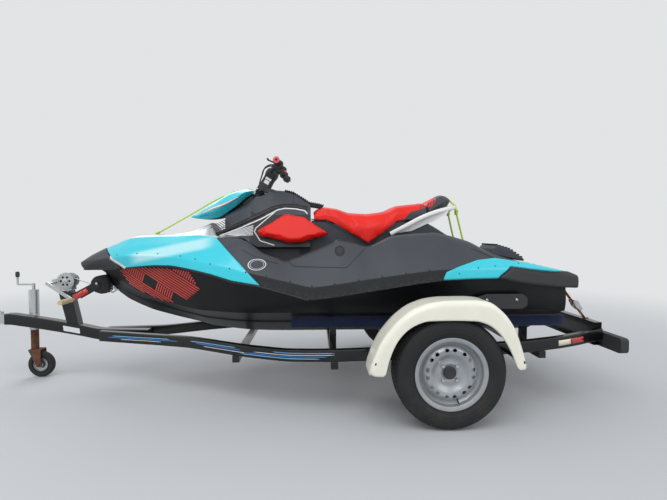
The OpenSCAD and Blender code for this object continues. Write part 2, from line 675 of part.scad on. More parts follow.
// Underside of the side rails over a piece that runs from x - h to x + h
function rail_under(x, h) =
  min(rail_at(x - h)[1], rail_at(x + h)[1], rail_at(x)[1]) - rail_h / 2 - clear;
function rail_at(x) = [
  lookup(x, [for (p = rail_line) [p[0], p[1] * rail_y / 578]]),
  lookup(x, [for (p = rail_line) [p[0], p[2]]])];
module side_rail() {
  black_steel()
  loft([for (p = rail_line) rail_ring(p)]);
}
module side_rail_left() side_rail();
module side_rail_right() mirror([0, 1, 0]) side_rail();
bar_line = [[1760, 303], [2050, 310], [2190, 337], [2440, 383], [2560, 402],
  [nose_x - 170, 414], [nose_x - 150, 414]];
function bar_at(x) = lookup(x, bar_line);
module drawbar() {
  a = drawbar_a / 2;
  black_steel()
  intersection() {
    loft([for (p = bar_line)
      [[p[0], a, p[1] - a], [p[0], a, p[1] + a], [p[0], -a, p[1] + a], [p[0], -a, p[1] - a]]]);
    cube([8000, 58 * 2 * rail_y / 578 - rail_w - 2 * clear, 2000], center = true);
  }
}
coupler_z = 414;
module coupler() {
  galvanized()
  difference() {
    union() {
      translate([nose_x - 150 + clear, -30, coupler_z - 30]) cube([70, 60, 60]);
      translate([nose_x - 44, 0, coupler_z - 34]) cylinder(h = 64, d = 88);
      translate([nose_x - 100, -30, coupler_z - 30]) cube([60, 60, 52]);
      translate([nose_x - 118, -14, coupler_z + 22]) cube([96, 28, 24]);
      rod([nose_x - 100, 0, coupler_z + 44], [nose_x - 24, 0, coupler_z + 84], 18);
    }
    translate([nose_x - 44, 0, coupler_z - 8]) sphere(d = ball_d + 1.2);
    translate([nose_x - 44, 0, coupler_z - 40]) cylinder(h = 32, d = ball_d + 1.2);
  }
}
cross_z = 252;
module crossmembers() {
  black_steel() {
    for (x = [-600, 560, 1120])
      let (r = rail_at(x))
      translate([x - 20, -r[0] - rail_w / 2, rail_under(x, 20) - 40])
        cube([40, 2 * r[0] + rail_w, 40]);
    for (x = [-600, 560])
      mirrored()
        let (z0 = rail_under(x, 20) - 1)
        translate([x - 20, bunk_y - 18, z0])
          cube([40, 36, bunk_base - z0 - clear]);
    translate([1766, -rail_at(1826)[0] + rail_w / 2 + clear, bar_at(1760) - drawbar_a / 2 - 8 - clear])
      cube([60, 2 * rail_at(1826)[0] - rail_w - 2 * clear, 8]);
  }
}
bunk_base = keel_h + (bunk_y + bunk_w / 2) * deadrise - bunk_h;
module bunks() {
  color("#1d2b4f")
  mirrored()
    translate([-15 - bunk_l / 2, 0, 0])
      rotate([90, 0, 90])
        linear_extrude(bunk_l)
          polygon([[bunk_y - bunk_w / 2, bunk_base], [bunk_y + bunk_w / 2, bunk_base],
            [bunk_y + bunk_w / 2, keel_h + (bunk_y + bunk_w / 2) * deadrise - clear],
            [bunk_y - bunk_w / 2, keel_h + (bunk_y - bunk_w / 2) * deadrise - clear]]);
}
beam_z = 316;
module rear_beam() {
  black_steel() {
    translate([-1010, -458, beam_z]) cube([5, 916, 135]);
    translate([-1010, -458, beam_z]) cube([46, 916, 5]);
    translate([-1010, -458, beam_z + 130]) cube([46, 916, 5]);
  }
}
module tail_lights() {
  black_plastic()
  mirrored()
    translate([-tail_overhang, 370, 308])
      difference() {
        cube([tail_overhang - 1010 - clear, 250, 84]);
        translate([-1, 10, 10]) cube([5, 230, 64]);
      }
  color("#b3231d")
  mirrored()
    translate([-tail_overhang + 0.5, 380.3, 318.3])
      cube([3.2, 229.4, 63.4]);
}
axle_z = 262;
module axle_beam() {
  black_steel() {
    translate([-25, -630, axle_z - 25]) cube([50, 1260, 50]);
    mirrored() {
      translate([-45, 630, axle_z - 35]) cube([90, 12, wheel_z - axle_z + 80]);
      translate([0, 642, wheel_z])
        rotate([-90, 0, 0]) cylinder(h = track_half + 18 - 642, d = 34);
      translate([-40, rail_at(0)[0] - 20, axle_z + 25])
        cube([80, 40, rail_under(0, 40) - axle_z - 25]);
    }
  }
}
guard_k = (tyre_d / 2 + guard_gap + guard_t) / 360;
guard_out = [[402, 5], [396, 40], [379, 90], [348, 158], [300, 225], [240, 285], [176, 326],
  [96, 352], [20, 360], [-90, 361], [-171, 354], [-240, 310], [-296, 240], [-338, 140], [-370, 30]];
guard_in = [[-324, 26], [-290, 108], [-236, 196], [-170, 250], [-110, 268], [20, 272], [120, 270],
  [190, 248], [250, 202], [290, 140], [318, 60], [330, 2]];
guard_y = track_half + tyre_w / 2 + 12;
module mudguard() {
  color("#f1efe4") {
    translate([0, guard_y, wheel_z])
      rotate([90, 0, 0])
        linear_extrude(guard_t)
          polygon(concat(guard_k * guard_out, guard_k * guard_in));
    translate([0, guard_y, wheel_z])
      rotate([90, 0, 0])
        linear_extrude(guard_y - track_half + tyre_w / 2 - 6)
          difference() {
            polygon(guard_k * guard_out);
            polygon(guard_k * concat([[402, -20]],
              [for (p = guard_out) p - guard_t * 1.15 * p / norm(p)], [[-370, -20]]));
          }
    for (s = [[0, 378], [1, -352]])
      let (x0 = guard_k * s[1],
        y0 = max(rail_at(x0 - 11)[0], rail_at(x0 + 11)[0]) + rail_w / 2 + 2 * clear)
      translate([guard_k * s[1], y0, wheel_z + 62])
        rotate([-90, 0, 0]) cylinder(h = guard_y - 40 - y0, d = 22);
  }
}
module mudguard_left() mudguard();
module mudguard_right() mirror([0, 1, 0]) mudguard();

/* --------------------------------------------------------------------- wheels */
module wheel_at() {
  translate([0, track_half, wheel_z])
    rotate([-90, 0, 0])
      children();
}
module rim() {
  r = rim_d / 2;
  color("#b4b7b9")
  wheel_at() {
    difference() {
      rotate_extrude()
        polygon([[r, 75], [r - 1, 70], [r - 17, 68], [r - 19, 44], [r - 36, 30], [r - 36, -8],
          [r - 19, -24], [r - 19, -68], [r - 1, -70], [r, -75], [r - 6, -75], [r - 24, -71],
          [r - 24, -22], [r - 41, -6], [r - 41, 12], [r - 48, 40], [r - 62, 52], [r - 84, 48],
          [r - 100, 36], [r - 112, 30], [22, 30], [22, 37], [r - 114, 37], [r - 102, 43],
          [r - 84, 55], [r - 62, 59], [r - 46, 46], [r - 40, 34], [r - 24, 47], [r - 22, 70],
          [r - 6, 75]]);
      for (a = [0:45:315], s = [-9.5, 9.5])
        rotate([0, 0, a + s]) translate([r - 66, 0, 30]) cylinder(h = 40, d = 24);
    }
    difference() {
      union() {
        translate([0, 0, -34]) cylinder(h = 64, d = 112);
        cylinder(h = 46, d = 62);
        for (a = [45:90:315])
          rotate([0, 0, a]) translate([bolt_pcd / 2, 0, 28]) cylinder(h = 20, d = 21, $fn = 6);
      }
      translate([0, 0, -40]) cylinder(h = 60, d = 34 + 2 * clear);
    }
  }
}
module rim_left() rim();
module rim_right() mirror([0, 1, 0]) rim();
module tyre() {
  r = tyre_d / 2;
  b = rim_d / 2;
  w = tyre_w / 2;
  color("#17181a")
  wheel_at()
    rotate_extrude()
      polygon([[r, 0], [r - 1, w * 0.5], [r - 4, w * 0.74], [r - 14, w * 0.92], [r - 34, w * 0.99],
        [r - 56, w], [r - 76, w * 0.95], [b + 3, w * 0.84], [b - 2, 68.8], [b - 16.5, 67.5],
        [b - 18.1, 50], [b - 4, 40], [b + 20, 62], [r - 56, w - 9], [r - 20, w - 16], [r - 11, 0],
        [r - 20, 16 - w], [r - 56, 9 - w], [b + 20, -62], [b - 4, -40], [b - 18.1, -50],
        [b - 16.5, -67.5], [b - 2, -68.8], [b + 3, -w * 0.84], [r - 76, -w * 0.95], [r - 56, -w],
        [r - 34, -w * 0.99], [r - 14, -w * 0.92], [r - 4, -w * 0.74], [r - 1, -w * 0.5]]);
}
module tyre_left() tyre();
module tyre_right() mirror([0, 1, 0]) tyre();

/* ---------------------------------------------------------------------- winch */
post_x = cx(2240);
drum_x = cx(2278);
drum_z = cz(662);
crank_x = cx(2278) + 66;
crank_z = cz(662) - 10;
module winch_post() {
  black_steel()
  difference() {
    rail_plate([[post_x - 36, bar_at(post_x - 36) + drawbar_a / 2 + clear],
      [post_x + 40, bar_at(post_x + 40) + drawbar_a / 2 + clear],
      [post_x + 88, cz(592)], [post_x + 12, cz(600)]], -30, 30);
    rail_plate([[post_x - 6, cz(430)], [post_x + 44, cz(430)], [post_x + 76, cz(586)],
      [post_x + 28, cz(590)]], -26, 26);
  }
}
module bow_stop() {
  black_steel()
  mirrored()
    rail_plate([[post_x + 26, cz(522)], [post_x + 34, cz(556)], [cx(2082), cz(652)],
      [cx(2052), cz(640)], [cx(2062), cz(618)]], 30 + clear, 36 + clear);
  color("#1a1a1a") {
    mirrored()
      rail_plate([[cx(2006), cz(598)], [cx(2006), cz(640)], [cx(2024), cz(664)], [cx(2060), cz(682)],
        [cx(2096), cz(680)], [cx(2120), cz(656)], [cx(2120), cz(622)], [cx(2094), cz(588)],
        [cx(2056), cz(576)], [cx(2024), cz(580)]], 16, 30.1 + clear);
  }
  galvanized()
  translate([cx(2076), -44, cz(646)])
    rotate([-90, 0, 0]) cylinder(h = 88, d = 12);
}
module winch_frame() {
  galvanized() {
    difference() {
      mirrored()
        rail_plate([[post_x + 4, cz(600) + 1], [post_x + 92, cz(592) + 1], [crank_x + 22, crank_z - 14],
          [crank_x + 22, crank_z + 18], [crank_x - 10, crank_z + 26], [drum_x + 10, drum_z + 34],
          [drum_x - 24, drum_z + 26], [drum_x - 30, drum_z - 16]], 30, 33);
      translate([drum_x, -60, drum_z])
        rotate([-90, 0, 0]) cylinder(h = 120, d = 12 + 2 * clear);
      translate([crank_x, -60, crank_z])
        rotate([-90, 0, 0]) cylinder(h = 120, d = 14 + 2 * clear);
    }
    rail_plate([[post_x + 6, cz(600) + 0.8], [post_x + 90, cz(592) + 0.5],
      [post_x + 90, cz(592) + 4], [post_x + 6, cz(600) + 4]], -33, 33);
  }
}
module winch_drum() {
  galvanized()
  translate([drum_x, 0, drum_z])
    rotate([-90, 0, 0]) {
      translate([0, 0, -24]) cylinder(h = 48, d = drum_d);
      translate([0, 0, -27]) cylinder(h = 3, d = 98);
      translate([0, 0, 24]) cylinder(h = 3, d = 98);
      translate([0, 0, -46]) cylinder(h = 86, d = 12);
      translate([0, 0, -46]) cylinder(h = 7, d = 96);
    }
}
crank_turn = atan2(106, 156);
module winch_crank() {
  galvanized()
  translate([crank_x, 0, crank_z]) {
    rotate([-90, 0, 0]) {
      translate([0, 0, -46]) cylinder(h = 158, d = 14);
      translate([0, 0, -46]) cylinder(h = 7, d = 26);
      translate([0, 0, 34]) cylinder(h = 6, d = 22);
    }
    rotate([0, -crank_turn, 0])
      translate([-crank_l - 12, 112, -10]) cube([crank_l + 24, 6, 20]);
  }
  color("#d8c9a8")
  translate([crank_x, 0, crank_z])
    rotate([0, -crank_turn, 0])
      translate([-crank_l, 117.5, 0])
        rotate([-90, 0, 0]) cylinder(h = 128, d = 27);
}
module winch_cable() {
  galvanized() {
    rod([drum_x - 6, 0, drum_z + drum_d / 2 + 4], [cx(1996) + 34, 0, cz(eye_z) + 2], 6);
    translate([cx(1996) + 22, 0, cz(eye_z) - 3])
      difference() {
        cylinder(h = 6, r = 15);
        translate([0, 0, -1]) cylinder(h = 8, r = 10);
      }
  }
}

/* ----------------------------------------------------------------- jockey jack */
jack_x = nose_x - 262;
jack_y = -92;
tube_d = 60;
leg_d = 48;
jockey_trail = 42;
module jack_tube() {
  galvanized()
  difference() {
    union() {
      translate([jack_x, jack_y, 324]) cylinder(h = 268, d = tube_d);
      translate([jack_x - 30, jack_y, bar_at(jack_x) - 26])
        cube([60, -drawbar_a / 2 - clear - jack_y, 52]);
      translate([jack_x, jack_y, 590]) cylinder(h = 44, d = 20);
      rod([jack_x, jack_y, 628], [jack_x + 104, jack_y, 628], 14);
      rod([jack_x + 104, jack_y, 628], [jack_x + 104, jack_y, 680], 14);
    }
    translate([jack_x, jack_y, 250]) cylinder(h = 320, d = leg_d + 2 * clear);
  }
}
fork_top = jockey_d / 2 + 104;
module jack_leg() {
  color("#8f8378")
  translate([jack_x, jack_y, 0])
    difference() {
      translate([0, 0, fork_top + 0.8]) cylinder(h = 210, d = leg_d);
      translate([0, 0, fork_top - 1]) cylinder(h = 60, d = 20 + 2 * clear);
    }
}
module jack_fork() {
  color("#7d4a2c")
  translate([jack_x, jack_y, 0]) {
    translate([0, 0, fork_top - 6]) cylinder(h = 62, d = 20);
    translate([-jockey_trail - 10, -jockey_w / 2 - 10, fork_top - 6])
      cube([jockey_trail + 36, jockey_w + 20, 6]);
    mirrored()
      rail_plate([[-jockey_trail - 14, jockey_d / 2 - 14], [-jockey_trail + 14, jockey_d / 2 - 14],
        [26, fork_top - 4], [-jockey_trail - 10, fork_top - 4]], jockey_w / 2 + 5, jockey_w / 2 + 10);
    translate([-jockey_trail, -jockey_w / 2 - 14, jockey_d / 2])
      rotate([-90, 0, 0]) cylinder(h = jockey_w + 28, d = 14);
  }
}
module jockey_wheel() {
  r = jockey_d / 2;
  w = jockey_w / 2;
  color("#1b1b1c")
  translate([jack_x - jockey_trail, jack_y, r])
    rotate([-90, 0, 0])
      rotate_extrude()
        polygon([[7 + clear, -w], [24, -w], [26, -8], [r - 34, -8], [r - 30, -w + 4], [r - 10, -w + 3],
          [r - 2, -w + 12], [r, 0], [r - 2, w - 12], [r - 10, w - 3], [r - 30, w - 4], [r - 34, 8],
          [26, 8], [24, w], [7 + clear, w]]);
}
module stern_straps() {
  color("#d9793a")
  mirrored()
    rail_plate([[-988, beam_z + 135 + clear], [-830, cz(655)], [-826, cz(655)],
      [-984, beam_z + 135 + clear]], bunk_y - strap_w / 2, bunk_y + strap_w / 2);
  galvanized()
  mirrored()
    translate([-944, 306, 498])
      rotate([0, -50, 0]) cube([62, 48, 20]);
}
line_d = 9;
module tie_line() {
  color("#b7d433") {
    loft(tube_rings([for (p = [[1076, 1255], [1100, 1262.8], [1200, 1244], [1304, 1196.5],
      [1364, 1163.5], [1482, 1093], [1700, 969]]) [cx(p[0]), 0, cz(p[1])]], line_d, [0, 1, 0], 10));
    mirrored()
      loft(tube_rings([[cx(-350), 96, cz(851.1)], [cx(-302), 84, cz(1120)], [cx(-296.2), 84, cz(1150)]],
        line_d, [0, 1, 0], 10));
  }
}

translate([axle_x, 0, 0]) {
  lower_hull();
  deck();
  nose_bumper();
  bow_panel_left();
  bow_panel_right();
  hood();
  cowl();
  console();
  knee_pad_left();
  knee_pad_right();
  seat();
  seat_tail();
  grab_handle();
  quarter_panel_left();
  quarter_panel_right();
  rear_bumper_left();
  rear_bumper_right();
  foot_wedges();
  sponsons();
  steering_column();
  handlebar();
  hand_grips();
  control_levers();
  engine();
  jet_pump();
  impeller();
  steering_nozzle();
  reverse_gate();
  ride_plate();
  bow_eye();
  side_rail_left();
  side_rail_right();
  drawbar();
  coupler();
  crossmembers();
  rear_beam();
  tail_lights();
  bunks();
  axle_beam();
  mudguard_left();
  mudguard_right();
  rim_left();
  rim_right();
  tyre_left();
  tyre_right();
  winch_post();
  bow_stop();
  winch_frame();
  winch_drum();
  winch_crank();
  winch_cable();
  jack_tube();
  jack_leg();
  jack_fork();
  jockey_wheel();
  stern_straps();
  tie_line();
}
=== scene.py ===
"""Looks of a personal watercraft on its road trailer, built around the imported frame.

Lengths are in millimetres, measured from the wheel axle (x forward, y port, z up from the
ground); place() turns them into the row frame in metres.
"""

from __future__ import annotations

import logging
import math
from dataclasses import dataclass, field
from enum import Enum
from typing import Callable, Iterable, Sequence

import bmesh
import bpy
import numpy as np
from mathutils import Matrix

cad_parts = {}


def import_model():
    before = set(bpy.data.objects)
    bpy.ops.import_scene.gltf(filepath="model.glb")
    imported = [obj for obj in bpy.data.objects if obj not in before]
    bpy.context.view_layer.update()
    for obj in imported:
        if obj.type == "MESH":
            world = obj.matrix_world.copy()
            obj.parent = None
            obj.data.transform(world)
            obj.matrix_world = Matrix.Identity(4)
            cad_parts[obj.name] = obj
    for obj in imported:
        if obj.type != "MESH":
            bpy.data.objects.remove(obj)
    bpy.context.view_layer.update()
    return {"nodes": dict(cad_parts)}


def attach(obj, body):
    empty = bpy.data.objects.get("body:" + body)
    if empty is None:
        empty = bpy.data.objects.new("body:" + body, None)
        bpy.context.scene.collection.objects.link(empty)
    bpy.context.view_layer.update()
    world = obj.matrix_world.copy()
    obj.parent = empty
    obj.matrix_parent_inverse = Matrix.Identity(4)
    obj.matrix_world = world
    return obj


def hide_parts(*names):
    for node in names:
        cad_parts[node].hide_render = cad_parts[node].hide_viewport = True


LOG = logging.getLogger("watercraft")
AXLE_X = -880.0
Rows = Sequence[Sequence[float]]


class Side(Enum):
    """The two sides of the craft, by the sign of y."""

    PORT = 1
    STARBOARD = -1

    @property
    def tag(self) -> str:
        """Ending for a piece's name."""
        return "left" if self is Side.PORT else "right"


def place(points: np.ndarray) -> np.ndarray:
    """Moves drawing points (mm from the axle) into the row frame (m)."""
    return (np.asarray(points, float) + (AXLE_X, 0.0, 0.0)) / 1000.0


# ------------------------------------------------------------------ curves and grids
def pchip(x: np.ndarray, table: Rows) -> np.ndarray:
    """Monotone cubic through table rows (station, values...), read at stations x.

    Each span is a Hermite cubic whose end slopes are the weighted harmonic mean of the
    neighbouring chords, or zero where these differ in sign, so that nothing overshoots.
    """
    t = np.asarray(table, float)
    t = t[np.argsort(t[:, 0])]
    xs, ys = t[:, 0], t[:, 1:]
    h = np.diff(xs)[:, None]
    d = np.diff(ys, axis=0) / h
    m = np.zeros_like(ys)
    if len(xs) > 2:
        w1, w2 = 2 * h[1:] + h[:-1], h[1:] + 2 * h[:-1]
        same = d[:-1] * d[1:] > 0
        with np.errstate(divide="ignore", invalid="ignore"):
            inner = (w1 + w2) / (w1 / d[:-1] + w2 / d[1:])
        m[1:-1] = np.where(same, np.nan_to_num(inner), 0.0)
    m[0], m[-1] = d[0], d[-1]
    x = np.clip(np.asarray(x, float), xs[0], xs[-1])
    k = np.clip(np.searchsorted(xs, x, side="right") - 1, 0, len(xs) - 2)
    s = ((x - xs[k]) / h[k, 0])[..., None]
    return (
        ys[k] * (1 + 2 * s) * (1 - s) ** 2
        + h[k] * m[k] * s * (1 - s) ** 2
        + ys[k + 1] * s * s * (3 - 2 * s)
        + h[k] * m[k + 1] * s * s * (s - 1)
    )


def smoothstep(a: float, b: float, x: np.ndarray) -> np.ndarray:
    """0 before a, 1 after b, and the cubic 3t^2 - 2t^3 between them."""
    t = np.clip((np.asarray(x, float) - a) / (b - a), 0, 1)
    return t * t * (3 - 2 * t)


def unit(v: np.ndarray) -> np.ndarray:
    """Vectors scaled to length one along the last axis."""
    return v / np.maximum(np.linalg.norm(v, axis=-1, keepdims=True), 1e-9)


def fillet(ctrl: np.ndarray, radius: float | Sequence[float], n: int = 4, loop: bool = False) -> np.ndarray:
    """Rounds the corners of polylines ctrl (..., K, D).

    Each corner becomes the quadratic Bezier from radius before it to radius after it, or to
    0.45 of the side where that is shorter. An open line keeps its end points.
    """
    c = np.asarray(ctrl, float)
    k = c.shape[-2]
    r = np.broadcast_to(np.asarray(radius, float), (k,))
    prev, nxt = np.roll(c, 1, axis=-2), np.roll(c, -1, axis=-2)
    lp = np.linalg.norm(prev - c, axis=-1, keepdims=True)
    ln = np.linalg.norm(nxt - c, axis=-1, keepdims=True)
    rr = r[..., :, None]
    a = c + (prev - c) * np.minimum(rr / np.maximum(lp, 1e-6), 0.45)
    b = c + (nxt - c) * np.minimum(rr / np.maximum(ln, 1e-6), 0.45)
    t = np.linspace(0, 1, n)
    out = [
        (1 - s) ** 2 * a + 2 * s * (1 - s) * c + s * s * b
        for s in t
    ]
    q = np.stack(out, axis=-2)
    if loop:
        return q.reshape(*c.shape[:-2], k * n, c.shape[-1])
    mid = q[..., 1:-1, :, :].reshape(*c.shape[:-2], (k - 2) * n, c.shape[-1])
    return np.concatenate([c[..., :1, :], mid, c[..., -1:, :]], axis=-2)


def densify(line: np.ndarray, n: int) -> np.ndarray:
    """Polylines (..., K, D) resampled to n points at even arc length, each on its own."""
    p = np.asarray(line, float)
    flat = p.reshape(-1, p.shape[-2], p.shape[-1])
    seg = np.linalg.norm(np.diff(flat, axis=1), axis=-1)
    s = np.concatenate([np.zeros((len(flat), 1)), np.cumsum(seg, 1)], 1)
    s /= s[:, -1:]
    t = np.linspace(0, 1, n)
    rows = [
        np.stack([np.interp(t, si, fi[:, d]) for d in range(fi.shape[1])], -1)
        for si, fi in zip(s, flat)
    ]
    return np.stack(rows).reshape(*p.shape[:-2], n, p.shape[-1])


def edge_steps(n: int, first: float = 0.006) -> np.ndarray:
    """n values from 0 to 1, crowded near both ends, for grids whose border is rolled over."""
    rim = np.array([0, 0.35, 1, 2, 3.4]) * first
    return np.concatenate([rim, np.linspace(5 * first, 1 - 5 * first, n - 10), 1 - rim[::-1]])


def normals_of(p: np.ndarray) -> np.ndarray:
    """Unit normals of grid p (nu, nv, 3): the cross product of its two difference fields."""
    return unit(np.cross(np.gradient(p, axis=0), np.gradient(p, axis=1)))


def frames(path: np.ndarray, up: Sequence[float] = (0, 0, 1)) -> tuple[np.ndarray, np.ndarray]:
    """Side and up directions at each point of a path, square to its tangent."""
    t = unit(np.gradient(np.asarray(path, float), axis=0))
    side = unit(np.cross(np.asarray(up, float), t))
    return side, np.cross(t, side)


def sweep(path: np.ndarray, profile: np.ndarray, up: Sequence[float] = (0, 0, 1),
        scale: np.ndarray | float = 1.0) -> np.ndarray:
    """A profile (K, 2) of side and up offsets, carried along a path (N, 3) as a grid (N, K, 3)."""
    path = np.asarray(path, float)
    s, u = frames(path, up)
    k = np.broadcast_to(np.asarray(scale, float), (len(path),))[:, None, None]
    q = np.asarray(profile, float)
    return path[:, None] + k * (q[None, :, :1] * s[:, None] + q[None, :, 1:] * u[:, None])


def circle(r: float, n: int = 20) -> np.ndarray:
    """Points of a circle, anticlockwise, without the last one repeated."""
    a = np.linspace(0, 2 * np.pi, n, endpoint=False)
    return np.stack([np.cos(a), np.sin(a)], -1) * r


def bent(points: Rows, n: int = 40) -> np.ndarray:
    """A smooth curve of n points through a few: centripetal spans, read by arc length."""
    p = np.asarray(points, float)
    s = np.concatenate([[0], np.cumsum(np.linalg.norm(np.diff(p, axis=0), axis=1))])
    return pchip(np.linspace(0, s[-1], n), np.column_stack([s, p]))


def spun(profile: Rows, centre: Sequence[float], axis: str = "y", n: int = 48, turn: float = 0.0) -> np.ndarray:
    """A profile of (radius, distance along the axis) turned round an axis as a grid (n, K, 3)."""
    q = np.asarray(profile, float)
    a = np.linspace(0, 2 * np.pi, n, endpoint=False)[:, None] + turn
    c, s = np.cos(a) * q[:, 0], np.sin(a) * q[:, 0]
    h = np.broadcast_to(q[:, 1], c.shape)
    parts = {"x": (h, c, s), "y": (s, h, c), "z": (c, s, h)}[axis]
    return np.stack(parts, -1) + np.asarray(centre, float)


# ------------------------------------------------------------------------- pieces
@dataclass
class Shell:
    """Gathers parametric grids, then makes them one named piece of the craft or trailer."""

    name: str
    points: list = field(default_factory=list)
    faces: list = field(default_factory=list)
    slots: list = field(default_factory=list)
    coords: list = field(default_factory=list)
    count: int = 0

    def grid(self, p: np.ndarray, wrap_u: bool = False, wrap_v: bool = False, caps: bool = False,
            mat: int | np.ndarray = 0) -> "Shell":
        """Adds the quads of a grid.

        Args:
            p: points (nu, nv, 3) in drawing millimetres.
            wrap_u: joins the last row to the first.
            wrap_v: joins the last column to the first.
            caps: closes both ends of u with a fan to their middle.
            mat: material number, or one for each column of faces.
        """
        nu, nv = p.shape[:2]
        i = np.arange(nu * nv).reshape(nu, nv)
        if wrap_u:
            i = np.vstack([i, i[:1]])
        if wrap_v:
            i = np.hstack([i, i[:, :1]])
        q = np.stack([i[:-1, :-1], i[1:, :-1], i[1:, 1:], i[:-1, 1:]], -1)
        m = np.broadcast_to(np.asarray(mat), q.shape[:2]) if np.ndim(mat) < 2 else np.asarray(mat)
        uv = np.stack(np.meshgrid(np.linspace(0, 1, nu), np.linspace(0, 1, nv), indexing="ij"), -1)
        self.points.append(p.reshape(-1, 3))
        self.coords.append(uv.reshape(-1, 2))
        self.faces += (q.reshape(-1, 4) + self.count).tolist()
        self.slots += m.reshape(-1).tolist()
        if caps:
            for row, flip in ((i[0], False), (i[-1], True)):
                ring = row[:-1] if wrap_v else row
                c = p.reshape(-1, 3)[ring].mean(0)
                self.points.append(c[None])
                self.coords.append(np.array([[0.5, 0.5]]))
                k = self.count + nu * nv + (1 if flip else 0)
                a, b = ring + self.count, np.roll(ring, -1) + self.count
                fan = np.stack([b, a, np.full_like(a, k)] if flip else [a, b, np.full_like(a, k)], -1)
                self.faces += fan.tolist()
                self.slots += [int(m[0, 0])] * len(fan)
        self.count += nu * nv + (2 if caps else 0)
        return self

    def tube(self, path: Rows, r: float | np.ndarray, n: int = 14, up: Sequence[float] = (0, 0, 1),
            mat: int = 0) -> "Shell":
        """Adds a closed round tube of radius r along a path."""
        scale = np.asarray(r, float) if np.ndim(r) else float(r)
        return self.grid(sweep(np.asarray(path, float), circle(1.0, n), up, scale), wrap_v=True, caps=True,
            mat=mat)

    def lathe(self, profile: Rows, centre: Sequence[float], axis: str = "y", n: int = 48, mat: int = 0,
            loop: bool = True) -> "Shell":
        """Adds a turned part from a closed profile, or an open one that ends on the axis."""
        return self.grid(spun(profile, centre, axis, n), wrap_u=True, wrap_v=loop, mat=mat)

    def plate(self, outline: Rows, y0: float, y1: float, edge: float = 1.0, mat: int = 0) -> "Shell":
        """Adds a plate drawn in side view (x, z), from y0 to y1, with its edges rounded by edge."""
        o = np.asarray(outline, float)
        c = o.mean(0)
        inner = c + (o - c) * (1 - edge / np.maximum(np.linalg.norm(o - c, axis=1, keepdims=True), 1e-6))
        rings = [(inner, y0), (o, y0 + edge), (o, y1 - edge), (inner, y1)]
        p = np.stack([np.column_stack([q[:, 0], np.full(len(q), y), q[:, 1]]) for q, y in rings])
        return self.grid(p, wrap_v=True, caps=True, mat=mat)

    def both(self) -> "Shell":
        """Adds the other side's copy of all that is here, turned so that it still faces out."""
        pts, uvs, faces, slots = list(self.points), list(self.coords), list(self.faces), list(self.slots)
        self.points += [q * (1, -1, 1) for q in pts]
        self.coords += uvs
        self.faces += [[v + self.count for v in f[::-1]] for f in faces]
        self.slots += slots
        self.count *= 2
        return self

    def build(self, paint: "Coats", body: str = "outfit", stands_for: Iterable[str] = (),
            slot: str | None = None,
              side: Side = Side.PORT, wall: float = 0.0, bevel: float = 0.0, sharp: float = 34.0,
              closed: bool = True, subdiv: int = 0, weld: float = 0.02) -> bpy.types.Object:
        """Makes the mesh object, dresses it and ties it to its body.

        Args:
            paint: a finish, or one for each number given to the grids.
            body: body that carries the piece.
            stands_for: frame nodes that it replaces.
            slot: not used.
            side: STARBOARD mirrors the points.
            wall: thickness of a Solidify wall, inwards, in mm.
            bevel: width of a Bevel on sharp edges, in mm.
            sharp: angle above which an edge is drawn sharp, in degrees.
            closed: recalculates the normals of a closed shell.
            subdiv: levels of subdivision.
            weld: distance within which points are merged, in mm.

        Returns:
            The finished object.
        """
        co = np.concatenate(self.points) * (1, side.value, 1)
        mesh = bpy.data.meshes.new(self.name)
        mesh.from_pydata(place(co), [], self.faces)
        mesh.polygons.foreach_set("material_index", self.slots)
        layer = mesh.uv_layers.new(name="UVMap")
        loops = np.empty(len(mesh.loops), np.int32)
        mesh.loops.foreach_get("vertex_index", loops)
        layer.data.foreach_set("uv", np.concatenate(self.coords)[loops].ravel().astype(np.float32))
        bm = bmesh.new()
        bm.from_mesh(mesh)
        bmesh.ops.remove_doubles(bm, verts=bm.verts, dist=weld / 1000)
        bmesh.ops.dissolve_degenerate(bm, dist=1e-6, edges=bm.edges)
        if closed:
            bmesh.ops.recalc_face_normals(bm, faces=bm.faces)
        elif side is Side.STARBOARD:
            bmesh.ops.reverse_faces(bm, faces=bm.faces)
        bm.to_mesh(mesh)
        bm.free()
        obj = bpy.data.objects.new(self.name, mesh)
        bpy.context.scene.collection.objects.link(obj)
        return dress(obj, paint, body, stands_for, wall, bevel, sharp, subdiv)


def dress(obj: bpy.types.Object, paint: "Coats", body: str, stands_for: Iterable[str] = (),
          wall: float = 0.0, bevel: float = 0.0, sharp: float = 34.0, subdiv: int = 0) -> bpy.types.Object:
    """Gives a mesh object its materials, shading, modifiers and body, and hides the frame nodes it stands for.
    """
    mesh = obj.data
    index = np.zeros(len(mesh.polygons), np.int32)
    mesh.polygons.foreach_get("material_index", index)
    mesh.materials.clear()
    coats = paint if isinstance(paint, tuple) else (paint,)
    for coat in coats:
        mesh.materials.append(coat.make())
    mesh.polygons.foreach_set("material_index", np.minimum(index, len(coats) - 1))
    mesh.polygons.foreach_set("use_smooth", [True] * len(mesh.polygons))
    mesh.set_sharp_from_angle(angle=math.radians(sharp))
    if wall:
        w = obj.modifiers.new("wall", "SOLIDIFY")
        w.thickness, w.offset, w.use_even_offset = wall / 1000, -1.0, False
    if bevel:
        b = obj.modifiers.new("edges", "BEVEL")
        b.width, b.segments, b.limit_method, b.angle_limit = bevel / 1000, 2, "ANGLE", math.radians(32)
        b.harden_normals = True
    if subdiv:
        s = obj.modifiers.new("finer", "SUBSURF")
        s.levels = s.render_levels = subdiv
    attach(obj, body)
    nodes = list(stands_for)
    if nodes:
        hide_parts(*nodes)
    LOG.info("%s: %d faces on %s", obj.name, len(mesh.polygons), body)
    return obj


